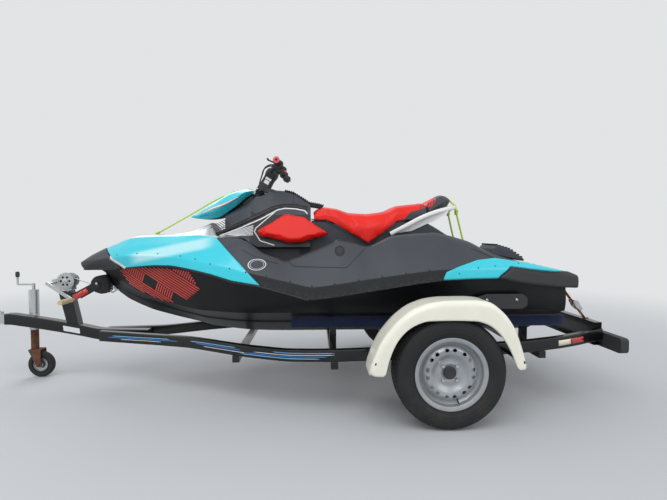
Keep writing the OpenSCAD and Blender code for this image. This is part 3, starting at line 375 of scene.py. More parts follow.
def frame_copy(node: str, name: str) -> bpy.types.Object:
    """A merged copy of a frame node's mesh, to be finished or padded; the node isn't touched."""
    src = bpy.data.objects[node].data
    mesh = bpy.data.meshes.new(name)
    bm = bmesh.new()
    bm.from_mesh(src)
    bmesh.ops.remove_doubles(bm, verts=bm.verts, dist=2e-5)
    bmesh.ops.dissolve_degenerate(bm, dist=1e-6, edges=bm.edges)
    bmesh.ops.dissolve_limit(bm, angle_limit=math.radians(1.0), verts=bm.verts, edges=bm.edges)
    bm.to_mesh(mesh)
    bm.free()
    for layer in list(mesh.uv_layers):
        mesh.uv_layers.remove(layer)
    obj = bpy.data.objects.new(name, mesh)
    bpy.context.scene.collection.objects.link(obj)
    return obj


def machined(node: str, paint: "Coats", body: str = "outfit", bevel: float = 1.5) -> bpy.types.Object:
    """A hard part of the frame with its edges eased, standing for its node."""
    return dress(frame_copy(node, node + "_part"), paint, body, [node], bevel=bevel, sharp=28)


@dataclass
class SideField:
    """The side of a shell as a height field: y over side-view points (x, z)."""

    x: np.ndarray
    z: np.ndarray
    y: np.ndarray

    @classmethod
    def of(cls, sections: np.ndarray) -> "SideField":
        """From sections (nx, K, 3), each rising in z from its first point to its last."""
        z = np.linspace(sections[..., 2].min(), sections[..., 2].max(), 260)
        rows = [np.interp(z, np.maximum.accumulate(s[:, 2]), s[:, 1]) for s in sections]
        return cls(sections[:, 0, 0], z, np.stack(rows))

    def on(self, xz: np.ndarray, lift: float = 0.6) -> np.ndarray:
        """Points on the surface over side-view points (..., 2), raised by lift along its normal.

        The height is read between the four nearest table values, in proportion.
        """
        xz = np.asarray(xz, float)

        def read(px: np.ndarray, pz: np.ndarray) -> np.ndarray:
            i = np.clip(np.interp(px, self.x, np.arange(len(self.x))), 0, len(self.x) - 1.001)
            j = np.clip(np.interp(pz, self.z, np.arange(len(self.z))), 0, len(self.z) - 1.001)
            a, b = i.astype(int), j.astype(int)
            s, t = i - a, j - b
            y = self.y
            return (y[a, b] * (1 - s) + y[a + 1, b] * s) * (1 - t) + (y[a, b + 1] * (1 - s) + y[a + 1,
                b + 1] * s) * t

        px, pz = xz[..., 0], xz[..., 1]
        y = read(px, pz)
        n = unit(np.stack([-(read(px + 4, pz) - read(px - 4, pz)) / 8, np.ones_like(y),
            -(read(px, pz + 4) - read(px, pz - 4)) / 8], -1))
        return np.stack([px, y, pz], -1) + n * lift


def ribbon(line: Rows, width: float | np.ndarray, n: int = 24) -> np.ndarray:
    """A flat band (n, 3, 2) of a given width along a side-view line: the line and its two parallels."""
    p = densify(np.asarray(line, float), n)
    t = unit(np.gradient(p, axis=0))
    s = np.stack([-t[:, 1], t[:, 0]], -1) * (np.broadcast_to(width, (n,))[:, None] / 2)
    return np.stack([p - s, p, p + s], 1)


def disc(c: Sequence[float], r0: float, r1: float, n: int = 28) -> np.ndarray:
    """A flat ring (3, n, 2) in side view between radii r0 and r1."""
    return np.stack([np.asarray(c, float) + circle(r, n) for r in np.linspace(r0, r1, 3)])


# ------------------------------------------------------------------------ finishes
def rgb(code: str) -> tuple[float, float, float, float]:
    """A hex colour as linear values for a shader."""
    v = np.array([int(code[i : i + 2], 16) for i in (1, 3, 5)]) / 255
    lin = np.where(v <= 0.04045, v / 12.92, ((v + 0.055) / 1.055) ** 2.4)
    return (*map(float, lin), 1.0)


class Net:
    """Short-hand for adding and joining nodes in a node tree."""

    def __init__(self, tree: bpy.types.NodeTree) -> None:
        """Keeps the tree."""
        self.tree = tree

    def add(self, kind: str, inputs: dict | None = None, **props: object) -> bpy.types.Node:
        """Adds a node, sets its properties, and feeds its inputs with values or sockets."""
        n = self.tree.nodes.new(kind)
        for k, v in props.items():
            setattr(n, k, v)
        for k, v in (inputs or {}).items():
            if isinstance(v, bpy.types.NodeSocket):
                self.tree.links.new(v, n.inputs[k])
            else:
                n.inputs[k].default_value = v
        return n

    def math(self, op: str, a: object, b: object = 0.0, clamp: bool = False) -> bpy.types.NodeSocket:
        """One Math node's result."""
        return self.add("ShaderNodeMath", {0: a, 1: b}, operation=op, use_clamp=clamp).outputs[0]

    def mix(self, mask: object, a: object, b: object) -> bpy.types.NodeSocket:
        """Colour a where the mask is 0, colour b where it is 1."""
        n = self.add("ShaderNodeMix", {0: mask, 6: a, 7: b}, data_type="RGBA")
        return n.outputs[2]

    def step(self, value: object, low: float, high: float) -> bpy.types.NodeSocket:
        """0 below low and 1 above high, smooth between."""
        return self.add("ShaderNodeMapRange", {0: value, 1: low, 2: high},
            interpolation_type="SMOOTHSTEP").outputs[0]


def effect(name: str, inputs: Sequence[tuple[str, str, object]], outputs: Sequence[tuple[str, str]],
        body: Callable[[Net, dict, dict], None]) -> bpy.types.NodeTree:
    """Builds a shared shader group once.

    Args:
        name: the group's name.
        inputs: (name, socket kind, default) of each input.
        outputs: (name, socket kind) of each output.
        body: fills the group, given its input sockets and a dict to put the results in.

    Returns:
        The node group.
    """
    if name in bpy.data.node_groups:
        return bpy.data.node_groups[name]
    tree = bpy.data.node_groups.new(name, "ShaderNodeTree")
    for n, kind, default in inputs:
        s = tree.interface.new_socket(n, in_out="INPUT", socket_type="NodeSocket" + kind)
        s.default_value = default
    for n, kind in outputs:
        tree.interface.new_socket(n, in_out="OUTPUT", socket_type="NodeSocket" + kind)
    net = Net(tree)
    gi = net.add("NodeGroupInput")
    go = net.add("NodeGroupOutput")
    out: dict = {}
    body(net, {s.name: s for s in gi.outputs if s.name}, out)
    for k, v in out.items():
        tree.links.new(v, go.inputs[k])
    return tree


def mottle_group() -> bpy.types.NodeTree:
    """Uneven colour: a slow noise mixes the base with a second tone."""

    def body(net: Net, i: dict, o: dict) -> None:
        p = net.add("ShaderNodeTexCoord").outputs["Object"]
        n = net.add("ShaderNodeTexNoise", {"Vector": p, "Scale": i["Scale"], "Detail": 5.0, "Roughness": 0.6})
        m = net.math("MULTIPLY", net.step(n.outputs["Fac"], 0.35, 0.72), i["Amount"])
        o["Color"] = net.mix(m, i["Base"], i["Second"])

    return effect("mottle", [("Base", "Color", (0.5,) * 3 + (1,)), ("Second", "Color", (0.4,) * 3 + (1,)),
        ("Scale", "Float", 8.0), ("Amount", "Float", 0.5)], [("Color", "Color")], body)


def edge_highlight_group() -> bpy.types.NodeTree:
    """Painted edge highlight: high curvature broken up by a fine noise."""

    def body(net: Net, i: dict, o: dict) -> None:
        p = net.add("ShaderNodeTexCoord").outputs["Object"]
        n = net.add("ShaderNodeTexNoise", {"Vector": p, "Scale": 60.0, "Detail": 3.0})
        point = net.add("ShaderNodeNewGeometry").outputs["Pointiness"]
        e = net.step(point, 0.53, 0.62)
        o["Mask"] = net.math("MULTIPLY", net.math("MULTIPLY", e, net.step(n.outputs["Fac"], 0.4, 0.65)),
            i["Amount"])

    return effect("worn", [("Amount", "Float", 0.5)], [("Mask", "Float")], body)


def grain_group() -> bpy.types.NodeTree:
    """Moulded or cast grain: small cells over fine noise, as a height."""

    def body(net: Net, i: dict, o: dict) -> None:
        p = net.add("ShaderNodeTexCoord").outputs["Object"]
        v = net.add("ShaderNodeTexVoronoi", {"Vector": p, "Scale": i["Scale"]}, feature="SMOOTH_F1")
        n = net.add("ShaderNodeTexNoise", {"Vector": p, "Scale": net.math("MULTIPLY", i["Scale"], 0.31),
            "Detail": 4.0})
        h = net.math("ADD", net.math("MULTIPLY", v.outputs["Distance"], i["Cells"]),
            net.math("MULTIPLY", n.outputs["Fac"], net.math("SUBTRACT", 1.0, i["Cells"])))
        o["Height"] = net.math("MULTIPLY", h, i["Depth"])

    return effect("grain", [("Scale", "Float", 400.0), ("Cells", "Float", 0.5), ("Depth", "Float", 1.0)],
        [("Height", "Float")], body)


def dust_group() -> bpy.types.NodeTree:
    """Road dust and dried water: patchy, stronger low down and on faces that look up."""

    def body(net: Net, i: dict, o: dict) -> None:
        p = net.add("ShaderNodeTexCoord").outputs["Object"]
        z = net.add("ShaderNodeSeparateXYZ", {0: p}).outputs[2]
        up = net.add("ShaderNodeSeparateXYZ",
            {0: net.add("ShaderNodeNewGeometry").outputs["Normal"]}).outputs[2]
        n = net.add("ShaderNodeTexNoise", {"Vector": p, "Scale": 14.0, "Detail": 8.0, "Roughness": 0.7})
        low = net.math("SUBTRACT", 1.0, net.step(z, 0.05, i["Height"]))
        m = net.math("ADD", net.math("MULTIPLY", low, 0.8), net.math("MULTIPLY", net.step(up, 0.3, 1.0), 0.35))
        o["Mask"] = net.math("MULTIPLY", net.math("MULTIPLY", m, net.step(n.outputs["Fac"], 0.38, 0.75)),
            i["Amount"], True)

    return effect("dust", [("Amount", "Float", 0.3), ("Height", "Float", 0.5)], [("Mask", "Float")], body)


@dataclass(frozen=True)
class Finish:
    """A surface finish: tones, gloss, grain, painted edge highlight and dust."""

    name: str
    tone: str
    second: str
    rough: float = 0.5
    metal: float = 0.0
    coat: float = 0.0
    mottle: float = 0.45
    mottle_scale: float = 6.0
    grain: float = 500.0
    cells: float = 0.5
    depth: float = 0.00015
    # painted edge highlight: its strength and its lighter tone
    wear: float = 0.3
    edge_highlight_tone: str = "#8a8d90"
    dust: float = 0.12
    dust_tone: str = "#a39a8b"
    dust_height: float = 0.55
    sheen: float = 0.0
    spec: float = 0.5

    def pattern(self, net: Net, colour: bpy.types.NodeSocket) -> bpy.types.NodeSocket:
        """Marks drawn over the base colour; a plain finish has none."""
        return colour

    def relief(self, net: Net, height: bpy.types.NodeSocket) -> bpy.types.NodeSocket:
        """Relief added to the grain; a plain finish has none."""
        return height

    def make(self) -> bpy.types.Material:
        """Builds the material, or returns the one already built."""
        if self.name in bpy.data.materials:
            return bpy.data.materials[self.name]
        m = bpy.data.materials.new(self.name)
        m.use_nodes = True
        m.node_tree.nodes.clear()
        m.diffuse_color = rgb(self.tone)
        net = Net(m.node_tree)
        c = net.add("ShaderNodeGroup", node_tree=mottle_group())
        for k, v in (("Base", rgb(self.tone)), ("Second", rgb(self.second)), ("Scale", self.mottle_scale),
                ("Amount", self.mottle)):
            c.inputs[k].default_value = v
        colour = self.pattern(net, c.outputs[0])
        # painted highlight: a lighter tone mixed in on sharp edges
        worn = net.add("ShaderNodeGroup", node_tree=edge_highlight_group())
        worn.inputs["Amount"].default_value = self.wear
        colour = net.mix(worn.outputs[0], colour, rgb(self.edge_highlight_tone))
        dust = net.add("ShaderNodeGroup", node_tree=dust_group())
        dust.inputs["Amount"].default_value = self.dust
        dust.inputs["Height"].default_value = self.dust_height
        colour = net.mix(dust.outputs[0], colour, rgb(self.dust_tone))
        grain = net.add("ShaderNodeGroup", node_tree=grain_group())
        for k, v in (("Scale", self.grain), ("Cells", self.cells), ("Depth", 1.0)):
            grain.inputs[k].default_value = v
        height = self.relief(net, grain.outputs[0])
        bump = net.add("ShaderNodeBump", {"Height": height, "Strength": 0.6, "Distance": self.depth})
        rough = net.math("ADD", net.math("ADD", net.math("MULTIPLY", grain.outputs[0], 0.08),
            self.rough - 0.04), net.math("MULTIPLY", dust.outputs[0], 0.4), True)
        s = net.add("ShaderNodeBsdfPrincipled", {"Base Color": colour, "Roughness": rough,
            "Normal": bump.outputs[0]})
        s.inputs["Metallic"].default_value = self.metal
        s.inputs["Coat Weight"].default_value = self.coat
        s.inputs["Coat Roughness"].default_value = 0.08
        s.inputs["Sheen Weight"].default_value = self.sheen
        s.inputs["Specular IOR Level"].default_value = self.spec
        out = net.add("ShaderNodeOutputMaterial")
        m.node_tree.links.new(s.outputs[0], out.inputs[0])
        return m


def where(net: Net) -> tuple[bpy.types.NodeSocket, bpy.types.NodeSocket, bpy.types.NodeSocket]:
    """The x, y and z sockets of the object's own coordinates."""
    n = net.add("ShaderNodeSeparateXYZ", {0: net.add("ShaderNodeTexCoord").outputs["Object"]})
    return n.outputs[0], n.outputs[1], n.outputs[2]


Coats = Finish | tuple[Finish, ...]


@dataclass(frozen=True)
class SeatVinyl(Finish):
    """Red seat vinyl that turns dark grey on the rear flanks and tail, with a toothed border."""

    def pattern(self, net: Net, colour: bpy.types.NodeSocket) -> bpy.types.NodeSocket:
        """Dark below a broken line: the greater of a steep line and the lesser of two others."""
        x, _, z = where(net)
        steep, flat, tail = (net.math("ADD", net.math("MULTIPLY", x, k), c) for k,
            c in ((-1.11, 0.196), (-0.267, 0.8863), (-1.48, -0.289)))
        line = net.math("MAXIMUM", net.math("MINIMUM", steep, flat), tail)
        over = net.math("SUBTRACT", z, line)
        flank = net.math("MULTIPLY", net.step(over, 0.001, -0.001), net.step(x, -0.77, -0.772))
        tooth = net.step(net.math("SINE", net.math("MULTIPLY",
            net.math("ADD", x, net.math("MULTIPLY", z, 0.45)), 440.0)), -0.1, 0.15)
        zone = net.math("MULTIPLY", net.step(x, -0.884, -0.888), net.step(over, 0.03, 0.026))
        dark = net.math("MAXIMUM", flank, net.math("MULTIPLY", tooth, zone))
        return net.mix(dark, colour, rgb("#3b3f45"))

    def relief(self, net: Net, height: bpy.types.NodeSocket) -> bpy.types.NodeSocket:
        """Soft creases across the cover, from a stretched noise."""
        p = net.add("ShaderNodeTexCoord").outputs["Object"]
        n = net.add("ShaderNodeTexNoise",
            {"Vector": net.add("ShaderNodeMapping", {"Vector": p, "Scale": (30.0, 6.0, 14.0)}).outputs[0],
            "Scale": 1.0, "Detail": 3.0})
        return net.math("ADD", height, net.math("MULTIPLY", n.outputs["Fac"], 2.4))


@dataclass(frozen=True)
class HighlightBandShell(Finish):
    """Gloss shell with a pale band of painted highlight that rises slowly towards the stern."""

    # band: tone of the painted highlight
    band: str = "#d6f1f1"
    height: float = 0.998
    slope: float = -0.205

    def pattern(self, net: Net, colour: bpy.types.NodeSocket) -> bpy.types.NodeSocket:
        """Painted highlight: pale where the height is near a sloping line, between two stations."""
        x, _, z = where(net)
        d = net.math("ABSOLUTE", net.math("SUBTRACT", z,
            net.math("ADD", net.math("MULTIPLY", x, self.slope), self.height)))
        ends = net.math("MULTIPLY", net.step(x, 0.34, 0.44), net.step(x, 0.90, 0.80))
        return net.mix(net.math("MULTIPLY", net.math("MULTIPLY", net.step(d, 0.044, 0.016), ends), 0.6), colour,
            rgb(self.band))


@dataclass(frozen=True)
class Carpet(Finish):
    """Bunk carpet: short looped pile."""

    def relief(self, net: Net, height: bpy.types.NodeSocket) -> bpy.types.NodeSocket:
        """Loops as coarse cells."""
        p = net.add("ShaderNodeTexCoord").outputs["Object"]
        v = net.add("ShaderNodeTexVoronoi", {"Vector": p, "Scale": 260.0})
        return net.math("ADD", height, net.math("MULTIPLY", v.outputs["Distance"], 2.0))


@dataclass(frozen=True)
class Braid(Finish):
    """Braided rope or woven strap: crossed strands that follow the piece's own UV map."""

    along: float = 900.0
    around: float = 12.566
    flecks: str = "#1d1f1a"
    share: float = 0.35

    def _uv(self, net: Net) -> tuple[bpy.types.NodeSocket, bpy.types.NodeSocket]:
        """The u and v of the piece's map, as strand angles."""
        n = net.add("ShaderNodeSeparateXYZ", {0: net.add("ShaderNodeTexCoord").outputs["UV"]})
        return net.math("MULTIPLY", n.outputs[0], self.along), net.math("MULTIPLY", n.outputs[1], self.around)

    def pattern(self, net: Net, colour: bpy.types.NodeSocket) -> bpy.types.NodeSocket:
        """Dark strands where one of the two spirals crosses over."""
        u, v = self._uv(net)
        a = net.math("SINE", net.math("ADD", net.math("MULTIPLY", u, 0.25), v))
        return net.mix(net.step(a, 1.0 - 2 * self.share, 1.05 - 2 * self.share), colour, rgb(self.flecks))

    def relief(self, net: Net, height: bpy.types.NodeSocket) -> bpy.types.NodeSocket:
        """Strands as the product of two opposite spirals."""
        u, v = self._uv(net)
        h = net.math("MULTIPLY", net.math("SINE", net.math("ADD", u, v)),
            net.math("SINE", net.math("SUBTRACT", u, v)))
        return net.math("ADD", height, net.math("MULTIPLY", h, 3.0))


INK = {"grain": 400, "depth": 0.00003, "wear": 0.1, "dust": 0.03}
FILM = {"rough": 0.3, "coat": 0.5, "grain": 300, "depth": 0.00003, "wear": 0.1, "dust": 0.08}
GEL = {"grain": 120, "cells": 0.95, "depth": 0.0004, "wear": 0.0, "dust": 0.08}
PRISM = {"rough": 0.2, "coat": 0.8, "grain": 150, "cells": 0.95, "depth": 0.0003, "wear": 0.0, "dust": 0.1}
SHELL = {"rough": 0.3, "coat": 0.35, "grain": 300, "depth": 0.00003, "wear": 0.3, "edge_highlight_tone": "#8fe8ef",
         "dust": 0.03, "mottle": 0.4}


class Paint:
    """Every finish on the craft and its trailer."""

    hull = Finish("hull_black", "#08090a", "#0e0f11", rough=0.42, coat=0.05, spec=0.3, grain=260, depth=0.00005,
        wear=0.1, edge_highlight_tone="#3a3c3f", dust=0.04, mottle=0.6)
    deck = Finish("deck_grey", "#3c4148", "#34393f", rough=0.5, spec=0.4, grain=900, depth=0.00008, wear=0.25,
        edge_highlight_tone="#6f757d", dust=0.05, mottle=0.5)
    lower_band = Finish("band_grey", "#1b1d1f", "#222427", rough=0.58, spec=0.35, grain=800, depth=0.0001,
        wear=0.3, edge_highlight_tone="#5e6368", dust=0.08)
    turquoise = Finish("turquoise_shell", "#27c6d8", "#33d0df", **SHELL)
    white = Finish("white_shell", "#dfe2e4", "#cfd3d6", rough=0.32, coat=0.3, grain=300, depth=0.00003,
        wear=0.1, edge_highlight_tone="#f5f5f5", dust=0.05, mottle=0.5)
    silver = Finish("silver_print", "#9a9fa5", "#aeb3b8", rough=0.4, coat=0.2, grain=600, depth=0.00003,
        wear=0.1, dust=0.02)
    plastic = Finish("black_plastic", "#0f1011", "#17181a", rough=0.5, spec=0.35, grain=700, depth=0.0001,
        wear=0.35, edge_highlight_tone="#4c4f53", dust=0.08)
    rubber = Finish("black_rubber", "#101112", "#18191a", rough=0.75, spec=0.35, grain=500, depth=0.0002,
        wear=0.2, edge_highlight_tone="#3c3d3e", dust=0.12)
    mat = Finish("deck_mat", "#26282b", "#303337", rough=0.85, grain=420, cells=0.9, depth=0.0005, wear=0.1,
        dust=0.12)
    seat = SeatVinyl("seat_vinyl", "#e81a0e", "#d4160c", rough=0.42, spec=0.35, grain=700, cells=0.8,
        depth=0.00035, wear=0.15, edge_highlight_tone="#ef6a58", dust=0.03, sheen=0.02, mottle=0.5)
    pad = Finish("pad_vinyl", "#e4180d", "#d0140b", rough=0.45, spec=0.35, grain=700, cells=0.8, depth=0.0003,
        wear=0.1, edge_highlight_tone="#ef6a58", dust=0.03, sheen=0.02, mottle=0.5)
    print_red = Finish("print_red", "#d4463b", "#bd352c", rough=0.42, coat=0.1, **INK)
    print_white = Finish("print_white", "#e4e6e8", "#d6d9db", rough=0.4, coat=0.1, **INK)
    print_black = Finish("print_black", "#101113", "#17181a", rough=0.45, **INK)
    # bow panels: turquoise with a painted highlight band near the crease
    bow = HighlightBandShell("bow_shell", "#27c6d8", "#33d0df", **SHELL)
    shade = Finish("print_teal", "#0f7c88", "#0b6a76", rough=0.4, **INK)
    pink = Finish("grip_end_red", "#d95864", "#c64a56", rough=0.5, grain=500, depth=0.0001, wear=0.2,
        edge_highlight_tone="#eda0a6", dust=0.02)
    handle = Finish("handle_white", "#e9eaea", "#dcdedd", rough=0.3, coat=0.3, grain=300, depth=0.00004,
        wear=0.2, edge_highlight_tone="#ffffff", dust=0.05)
    paint = Finish("trailer_black", "#050606", "#0b0c0d", rough=0.32, coat=0.35, spec=0.35, grain=160,
        depth=0.00006, wear=0.35, edge_highlight_tone="#3a3b3c", dust=0.1, dust_height=0.42)
    zinc = Finish("galvanized", "#94989b", "#73787c", rough=0.42, metal=0.85, grain=90, cells=0.9,
        depth=0.00008, wear=0.3, edge_highlight_tone="#d5d8da", dust=0.15, mottle=0.8, mottle_scale=25)
    steel = Finish("bright_steel", "#c9ccce", "#a9adb0", rough=0.28, metal=1.0, grain=200, depth=0.00003,
        wear=0.2, dust=0.05)
    alloy = Finish("cast_alloy", "#8f9396", "#7b8083", rough=0.45, metal=0.8, grain=260, cells=0.8,
        depth=0.0002, wear=0.3, edge_highlight_tone="#c4c7c9", dust=0.08)
    rim = Finish("wheel_silver", "#a9adb1", "#989da1", rough=0.38, metal=0.55, coat=0.25, grain=700,
        depth=0.00005, wear=0.35, edge_highlight_tone="#d9dcde", dust=0.2, dust_tone="#6d675e", dust_height=0.46,
        mottle=0.7, mottle_scale=18)
    tyre = Finish("tyre_rubber", "#17181a", "#202123", rough=0.7, grain=420, depth=0.0002, wear=0.25,
        edge_highlight_tone="#3d3e3f", dust=0.3, dust_tone="#5c564d", dust_height=0.5)
    guard = Finish("mudguard_cream", "#f0eee0", "#e6e3d3", rough=0.3, coat=0.4, grain=120, depth=0.00006,
        wear=0.2, edge_highlight_tone="#ffffff", dust=0.1, dust_tone="#b9ae98", dust_height=0.45, mottle=0.5)
    carpet = Carpet("bunk_carpet", "#14264a", "#0e1c3a", rough=0.95, grain=300, depth=0.0009, wear=0.1,
        edge_highlight_tone="#3a4a6e", dust=0.1, sheen=0.3, mottle=0.6, mottle_scale=20)
    rust = Finish("rusty_steel", "#6b3f28", "#3f2a20", rough=0.75, metal=0.2, grain=200, cells=0.6,
        depth=0.0003, wear=0.3, edge_highlight_tone="#a9714c", dust=0.15, mottle=0.9, mottle_scale=40)
    wood = Finish("crank_grip", "#cdbb93", "#b39c70", rough=0.5, grain=300, depth=0.00015, wear=0.3,
        edge_highlight_tone="#e8dcc0", dust=0.05, mottle=0.8, mottle_scale=30)
    rope = Braid("lime_rope", "#a9cf2e", "#8fb524", rough=0.75, grain=900, depth=0.0007, wear=0.0, dust=0.05,
        sheen=0.2)
    webbing = Braid("orange_webbing", "#c4622a", "#a9521f", rough=0.8, grain=900, depth=0.0004, wear=0.0,
        dust=0.12, sheen=0.25, along=260.0, around=80.0, flecks="#8c421a", share=0.3)
    lens = Finish("red_lens", "#a3150f", "#7e0f0b", rough=0.15, coat=0.9, **GEL)
    amber = Finish("amber_lens", "#d9700f", "#b85a0a", rough=0.15, coat=0.9, **GEL)
    cream = Finish("reflector_cream", "#e6dcc2", "#d9cfb4", **PRISM)
    signal = Finish("reflector_red", "#c6120f", "#a80f0c", **PRISM)
    blue = Finish("stripe_blue", "#2b6fc2", "#245fa8", **FILM)
    sky = Finish("stripe_sky", "#6cc3ea", "#58b3dd", **FILM)
    glass = Finish("gauge_glass", "#0b0d10", "#12161a", rough=0.08, coat=1.0, grain=50, depth=0.00001, wear=0.0,
        dust=0.0)


# -------------------------------------------------------------------------- craft
@dataclass
class Lines:
    """The craft's lines: (station, half width, height) rows, and sections read from them."""

    keel: Rows = ((-795, 0, 320), (820, 0, 320), (962, 0, 322), (1112, 0, 329), (1335, 0, 360), (1434, 0, 388),
        (1577, 0, 424),
                  (1735, 0, 469), (1890, 0, 542), (1990, 0, 625), (2035, 0, 700))
    chine: Rows = ((-795, 440, 515), (820, 440, 515), (962, 418, 510), (1112, 388, 508), (1335, 325, 515),
        (1434, 288, 527), (1577, 225, 552),
                   (1735, 150, 588), (1890, 75, 636), (1990, 27, 684), (2035, 9, 720))
    bond: Rows = ((-914, 378, 655), (-860, 440, 655), (-795, 466, 656), (-700, 496, 665), (-541, 530, 685),
        (-345, 556, 720), (-33, 583, 712),
                  (334, 584, 660), (682, 584, 612), (820, 574, 648), (962, 558, 685), (1112, 532, 708),
                  (1235, 500, 742), (1360, 458, 768),
                  (1480, 412, 786), (1577, 368, 786), (1690, 312, 777), (1790, 252, 766), (1905, 182, 752),
                  (2000, 122, 743), (2100, 74, 736), (2186, 22, 732))
    crease: Rows = ((-914, 380, 692), (-860, 442, 706), (-795, 466, 722), (-700, 494, 742), (-541, 526, 764),
        (-345, 548, 775), (-33, 571, 770),
                    (334, 571, 725), (682, 571, 677), (820, 562, 708), (962, 548, 740), (1112, 519, 772),
                    (1235, 489, 798), (1360, 452, 820),
                    (1480, 414, 839), (1577, 375, 842), (1690, 326, 841), (1790, 276, 836), (1905, 206, 824),
                    (2000, 150, 806), (2100, 90, 782), (2186, 28, 757))
    shoulder: Rows = ((-914, 352, 702), (-860, 404, 724), (-795, 432, 744), (-700, 452, 768), (-541, 476, 800),
        (-420, 478, 828), (-345, 476, 850), (-229, 442, 905),
                      (-33, 420, 962), (212, 425, 945), (334, 435, 896), (367, 436, 888), (451, 439, 910),
                      (538, 441, 926), (568, 442, 908), (662, 445, 868), (756, 447, 832), (838, 450, 808),
                      (874, 450, 820), (962, 444, 850),
                      (1060, 424, 905), (1112, 426, 908), (1235, 418, 884), (1360, 395, 888), (1480, 362, 894),
                      (1577, 328, 896), (1690, 284, 892),
                      (1790, 242, 882), (1905, 180, 860), (2000, 130, 838), (2100, 76, 806), (2186, 24, 768))
    rim: Rows = ((-914, 320, 704), (-860, 365, 727), (-795, 392, 748), (-700, 408, 772), (-541, 420, 804),
        (-420, 420, 836), (-345, 418, 862), (-229, 402, 924),
                 (-33, 385, 975), (212, 392, 957), (334, 404, 902), (367, 405, 895), (451, 407, 919),
                 (538, 410, 936), (568, 411, 917), (662, 414, 875), (756, 417, 839), (838, 420, 813),
                 (874, 420, 826), (962, 412, 856),
                 (1060, 392, 926), (1112, 390, 934), (1235, 344, 944), (1360, 300, 952), (1480, 264, 946),
                 (1577, 240, 944), (1690, 212, 940),
                 (1790, 180, 934), (1905, 130, 896), (2000, 90, 862), (2100, 46, 820), (2186, 14, 772))
    crown: Rows = ((-914, 150, 708), (-860, 150, 732), (-795, 150, 754), (-541, 150, 812), (-345, 150, 850),
        (-229, 148, 930), (-100, 148, 1010),
                   (-33, 148, 1046), (140, 150, 1052), (250, 150, 1022), (400, 150, 1020), (600, 150, 1050),
                   (688, 150, 1052), (694, 195, 884),
                   (1060, 200, 884), (1112, 205, 938), (1235, 150, 944), (1360, 150, 952), (1480, 130, 946),
                   (1577, 120, 944), (1690, 105, 940),
                   (1790, 90, 934), (1905, 60, 896), (2000, 40, 862), (2100, 20, 820), (2186, 6, 772))

    def line(self, x: np.ndarray, table: Rows, straight: float = 0.5) -> np.ndarray:
        """Points (n, 3) of one line: half way between straight chords and a monotone cubic."""
        t = np.asarray(table, float)
        lin = np.stack([np.interp(x, t[:, 0], t[:, k]) for k in (1, 2)], -1)
        yz = lin * straight + pchip(x, t) * (1 - straight)
        return np.column_stack([x, yz])

    def side(self, x: np.ndarray, out: float = 0.0) -> np.ndarray:
        """Outer side of the deck at stations x: (n, 4, 3), from the bond line up to the rim."""
        p = np.stack([self.line(x, t) for t in (self.bond, self.crease, self.shoulder, self.rim)], 1)
        push = np.array([[0, out, 0], [0, out, 0], [0, 0.6 * out, 0.8 * out], [0, 0.4 * out, 0.9 * out]])
        return p + push

    def hull(self, x: np.ndarray) -> np.ndarray:
        """Half sections of the lower hull (n, 7, 3): keel, two strakes, chine, side, flange."""
        k, c, b = (self.line(x, t) for t in (self.keel, self.chine, self.bond))
        w = np.maximum(b[:, 1] - 38, c[:, 1] + 6)
        fade = smoothstep(2000, 1650, x)
        half = k * 0.48 + c * 0.52
        step = k * 0.46 + c * 0.54
        step[:, 2] += 9 * fade
        lip = c - np.stack([0 * x, 16 * fade, 0 * x], -1)
        mid = np.stack([x, c[:, 1] * 0.55 + w * 0.45 + 12, c[:, 2] * 0.6 + b[:, 2] * 0.4], -1)
        top = np.stack([x, w, b[:, 2] + 1], -1)
        return np.stack([k, half, step, lip, c, mid, top], 1)


def swell(p: np.ndarray, thick: float, roll: float) -> np.ndarray:
    """Raises a surface patch into a panel with rolled edges.

    Each point moves out along its normal by thick * sqrt(1 - (1 - d / roll)^2), where d is its
    distance from the nearest border along the grid, so that the rim turns over like a shell's.
    """
    def reach(axis: int) -> np.ndarray:
        d = np.linalg.norm(np.diff(p, axis=axis), axis=-1)
        zero = np.zeros_like(np.take(d, [0], axis))
        s = np.concatenate([zero, np.cumsum(d, axis)], axis)
        return np.minimum(s, np.take(s, [-1], axis) - s)

    d = np.clip(np.minimum(reach(0), reach(1)) / roll, 0, 1)
    n = normals_of(p)
    n *= np.where(n[..., 1:2] < 0, -1, 1) if abs(n[..., 1].mean()) > 0.2 else 1
    return p + n * (thick * np.sqrt(1 - (1 - d) ** 2))[..., None]


def between(sections: np.ndarray, rear: Rows, front: Rows, n: int) -> np.ndarray:
    """Cuts a band of sections (nx, K, 3) off at two side-view lines (z, x).

    On each lengthwise curve the two stations where it meets the lines are found by linear
    search, and n points are spread between them.
    """
    t = edge_steps(n)
    rows = []
    for j in range(sections.shape[1]):
        c = sections[:, j]
        ends = []
        for cut in (rear, front):
            q = np.asarray(cut, float)
            q = q[np.argsort(q[:, 0])]
            g = c[:, 0] - np.interp(c[:, 2], q[:, 0], q[:, 1])
            k = int(np.argmax(g > 0)) if (g > 0).any() else len(g) - 1
            k = max(k, 1)
            f = np.clip(-g[k - 1] / max(g[k] - g[k - 1], 1e-6), 0, 1)
            ends.append(c[k - 1, 0] + f * (c[k, 0] - c[k - 1, 0]))
        x = ends[0] + t * max(ends[1] - ends[0], 1.0)
        rows.append(np.column_stack([x, np.interp(x, c[:, 0], c[:, 1]), np.interp(x, c[:, 0], c[:, 2])]))
    return np.stack(rows, 1)


